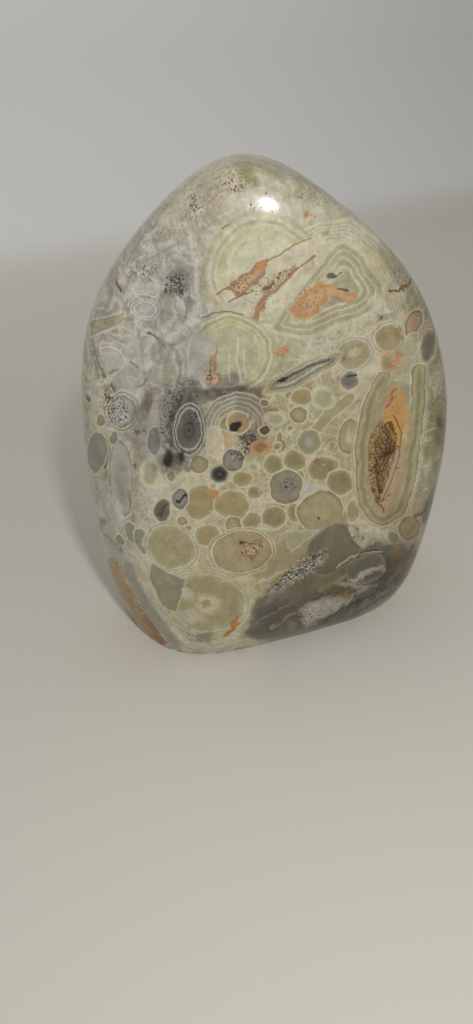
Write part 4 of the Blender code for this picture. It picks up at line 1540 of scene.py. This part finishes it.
# How its places are stirred: lump size in millimetres, and reach in pixels on the front or in millimetres
WAVE = (12.0, (4.0, 4.0, 0.0))
RIPPLE = (2.6, (1.6, 1.6, 0.0))
FRAY = (4.0, (7.0, 7.0, 0.0))
DEEP_WAVE = (24.0, (9.0, 9.0, 9.0))
# Darkest and lightest of the mottle and of the haze that multiply its colour, by the noise's value
MOTTLE_TONES = [(0.30, (0.88, 0.87, 0.86, 1.0)), (0.70, (1.08, 1.08, 1.08, 1.0))]
HAZE_TONES = [(0.32, (0.85, 0.84, 0.83, 1.0)), (0.68, (1.10, 1.10, 1.11, 1.0))]
# From where to where, in the noise's value, grit, gaps and veins fade in
DARK_GRIT = (0.56, 0.62)
LIGHT_GRIT = (0.44, 0.38)
GAPS = (0.42, 0.54)
VEINS = (0.012, 0.003)
# How squarely a face meets the viewpoint, or looks back, where the front's or the back's marks fade in
FRONT_TURN = (-0.02, 0.14)
BACK_TURN = (0.45, 0.80)
# Roughness of the polish, and what the mottle and wear add
POLISH = 0.14
MOTTLE_ROUGHNESS = 0.1
WEAR_ROUGHNESS = 0.45
# Strength of the relief on the polish, what wear adds, and its depth in metres
POLISH_BUMP = 0.02
WEAR_BUMP = 0.6
ONYX_RELIEF = 0.0005
ONYX_IOR = 1.58


def polished_onyx(name, window):
    """The polished stone: its front in a window of the photograph, and its pattern everywhere else."""
    material, p, shader = new_material(name, window)
    grit = p.noise(p.mm, GRIT_SIZE, detail=1.0)
    p.mottle = p.noise(p.mm, MOTTLE_SIZE, detail=4.0, roughness=0.55)
    p.dark_grit = p.fade(grit, *DARK_GRIT)
    p.light_grit = p.fade(grit, *LIGHT_GRIT)
    p.broken = p.fade(p.noise(p.mm, GAP_SIZE, detail=4.0), *GAPS)
    p.front = p.stirred(p.stirred(photo_places(p), p.mm, *WAVE), p.mm, *RIPPLE)
    p.frayed = p.stirred(p.front, p.mm, *FRAY, detail=5.0)
    p.stirred_mm = p.stirred(p.mm, p.mm, *DEEP_WAVE)
    p.level = p.noise(p.stirred_mm, LEVEL_SIZE, detail=1.0)
    p.cloud = p.noise(p.stirred_mm, CLOUD_SIZE, detail=4.0)
    p.vein = p.fade(p.off_middle(p.noise(p.stirred_mm, VEIN_SIZE, detail=3.0)), *VEINS)
    p.orb_ratio, p.orb_kind = p.orbs(p.stirred_mm, SMALL_ORB_SPACING, *SMALL_ORB_SIZES)
    p.back = back_places(p)
    p.colour = tone("cream")
    for layer, content in FRONT_LAYERS.items():
        p.layer(layer, content)
    front = p.colour
    front_matt = p.matt
    p.window = None
    p.layer("wild", paint_wild)
    rest = p.colour
    normal = p.node("ShaderNodeNewGeometry").outputs["Normal"]
    if window == UNSEEN:
        p.layer("back", paint_back)
        behind = p.fade(p.measure("DOT_PRODUCT", normal, (0.0, 1.0, 0.0)), *BACK_TURN)
        rest = p.mix(behind, rest, p.colour)
    to_view = p.vector("NORMALIZE", p.vector("SUBTRACT", VIEW_PLACE, p.coordinates))
    facing = p.fade(p.measure("DOT_PRODUCT", normal, to_view), *FRONT_TURN)
    p.colour = p.mix(facing, rest, front)

    p.colour = p.mix(1.0, p.colour, p.ramp(p.mottle, MOTTLE_TONES)[0], blend="MULTIPLY")
    haze = p.ramp(p.noise(p.mm, HAZE_SIZE, detail=4.0), HAZE_TONES)[0]
    p.feed(shader.inputs["Base Color"], p.mix(1.0, p.colour, haze, blend="MULTIPLY"))
    wear = p.math("MULTIPLY", front_matt, facing)
    polish = p.math("MULTIPLY_ADD", p.mottle, MOTTLE_ROUGHNESS, POLISH)
    p.feed(shader.inputs["Roughness"], p.math("MULTIPLY_ADD", wear, WEAR_ROUGHNESS, polish))
    add_bump(p, shader, grit, p.math("MULTIPLY_ADD", wear, WEAR_BUMP, POLISH_BUMP), ONYX_RELIEF)
    shader.inputs["IOR"].default_value = ONYX_IOR
    return material


# Corners of the cavity's paler walls, and the crust's marks, in pixels of the photograph
UPPER_WALL = [(380, 405), (410, 405), (412, 452), (397, 446), (381, 419)]
LOWER_WALL = [(400, 446), (412, 446), (404, 512), (380, 512), (382, 482), (389, 458)]
CRUST_MARKS = [
    pool((382, 434), (18, 20), 0, "tan", 0.45),
    pool((386, 454), (24, 8), -25, "brown", 0.8),
]
GRAIN_SIZE = 0.7
GRAIN_PATCH_SIZE = 5.0
CRYSTAL_FRAY = (3.0, (3.0, 3.0, 0.0))
CRYSTAL_ROUGHNESS = 0.42
# Strength and depth in metres of the relief on the crystals
CRYSTAL_BUMP = 0.7
CRYSTAL_RELIEF = 0.0004


def brown_crystals():
    """The crust: dark brown grains, rusty and golden on their tips, pale on the right wall."""
    material, p, shader = new_material("brown crystals")
    grain = p.noise(p.mm, GRAIN_SIZE, detail=3.0, roughness=0.7)
    p.colour = p.ramp(grain, [(0.30, tone("brown")), (0.42, tone("umber")), (0.50, tone("honey")),
                              (0.60, tone("tan")), (0.70, tone("cream"))])[0]
    patches = p.noise(p.mm, GRAIN_PATCH_SIZE, detail=3.0)
    p.lay("brown", p.fade(patches, 0.54, 0.66, 0.8))
    p.front = p.stirred(photo_places(p), p.mm, *CRYSTAL_FRAY, detail=3.0)
    p.lay("gold", p.fade(p.out_of(p.front, UPPER_WALL, 2.0), 1.0, -1.5, 0.9))
    p.lay("pink", p.fade(p.out_of(p.front, LOWER_WALL, 2.0), 1.5, -2.5, 0.9))
    p.paint(CRUST_MARKS)
    p.feed(shader.inputs["Base Color"], p.colour)
    shader.inputs["Roughness"].default_value = CRYSTAL_ROUGHNESS
    add_bump(p, shader, grain, CRYSTAL_BUMP, CRYSTAL_RELIEF)
    return material


def stage_paint():
    """A matt floor that turns a little cooler where it rises into the backdrop."""
    material, p, shader = new_material("stage")
    height = p.node("ShaderNodeSeparateXYZ", p.coordinates).outputs["Z"]
    turned = p.fade(height, 0.0, COLOUR_TURNS_BY)
    p.feed(shader.inputs["Base Color"], p.mix(turned, FLOOR_COLOUR, BACKDROP_COLOUR))
    shader.inputs["Roughness"].default_value = STAGE_ROUGHNESS
    return material


def window_of(face):
    """Which window of the photograph a face of the stone lies in; one turned away has the last."""
    forward, right, up = view_axes()
    ray = face.center - VIEW_PLACE
    if face.normal.dot(ray.normalized()) > HIDDEN_FROM:
        return len(WINDOWS) - 1
    x = PHOTO_WIDTH / 2 + VIEW_FOCAL * ray.dot(right) / ray.dot(forward)
    y = PHOTO_HEIGHT / 2 - VIEW_FOCAL * ray.dot(up) / ray.dot(forward)
    column = sum(x > limit for limit in WINDOW_COLUMNS[1:-1])
    row = sum(y > limit for limit in WINDOW_ROWS[1:-1])
    return row * (len(WINDOW_COLUMNS) - 1) + column


def dress(piece, materials, node):
    """Give a piece its materials and let it stand for its node of the model."""
    piece.data.materials.clear()
    for material in materials:
        piece.data.materials.append(material)
    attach(piece, "root")
    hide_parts(node)


stage = stage_sweep()
stage.data.materials.append(stage_paint())
add_camera()
add_lights()
stone = polished_stone()
dress(stone, [polished_onyx(f"polished onyx {place + 1}", window) for place, window in enumerate(WINDOWS)],
      "stone")
for face in stone.data.polygons:
    face.material_index = window_of(face)
dress(crystal_crust(), [brown_crystals()], "vug_crust")
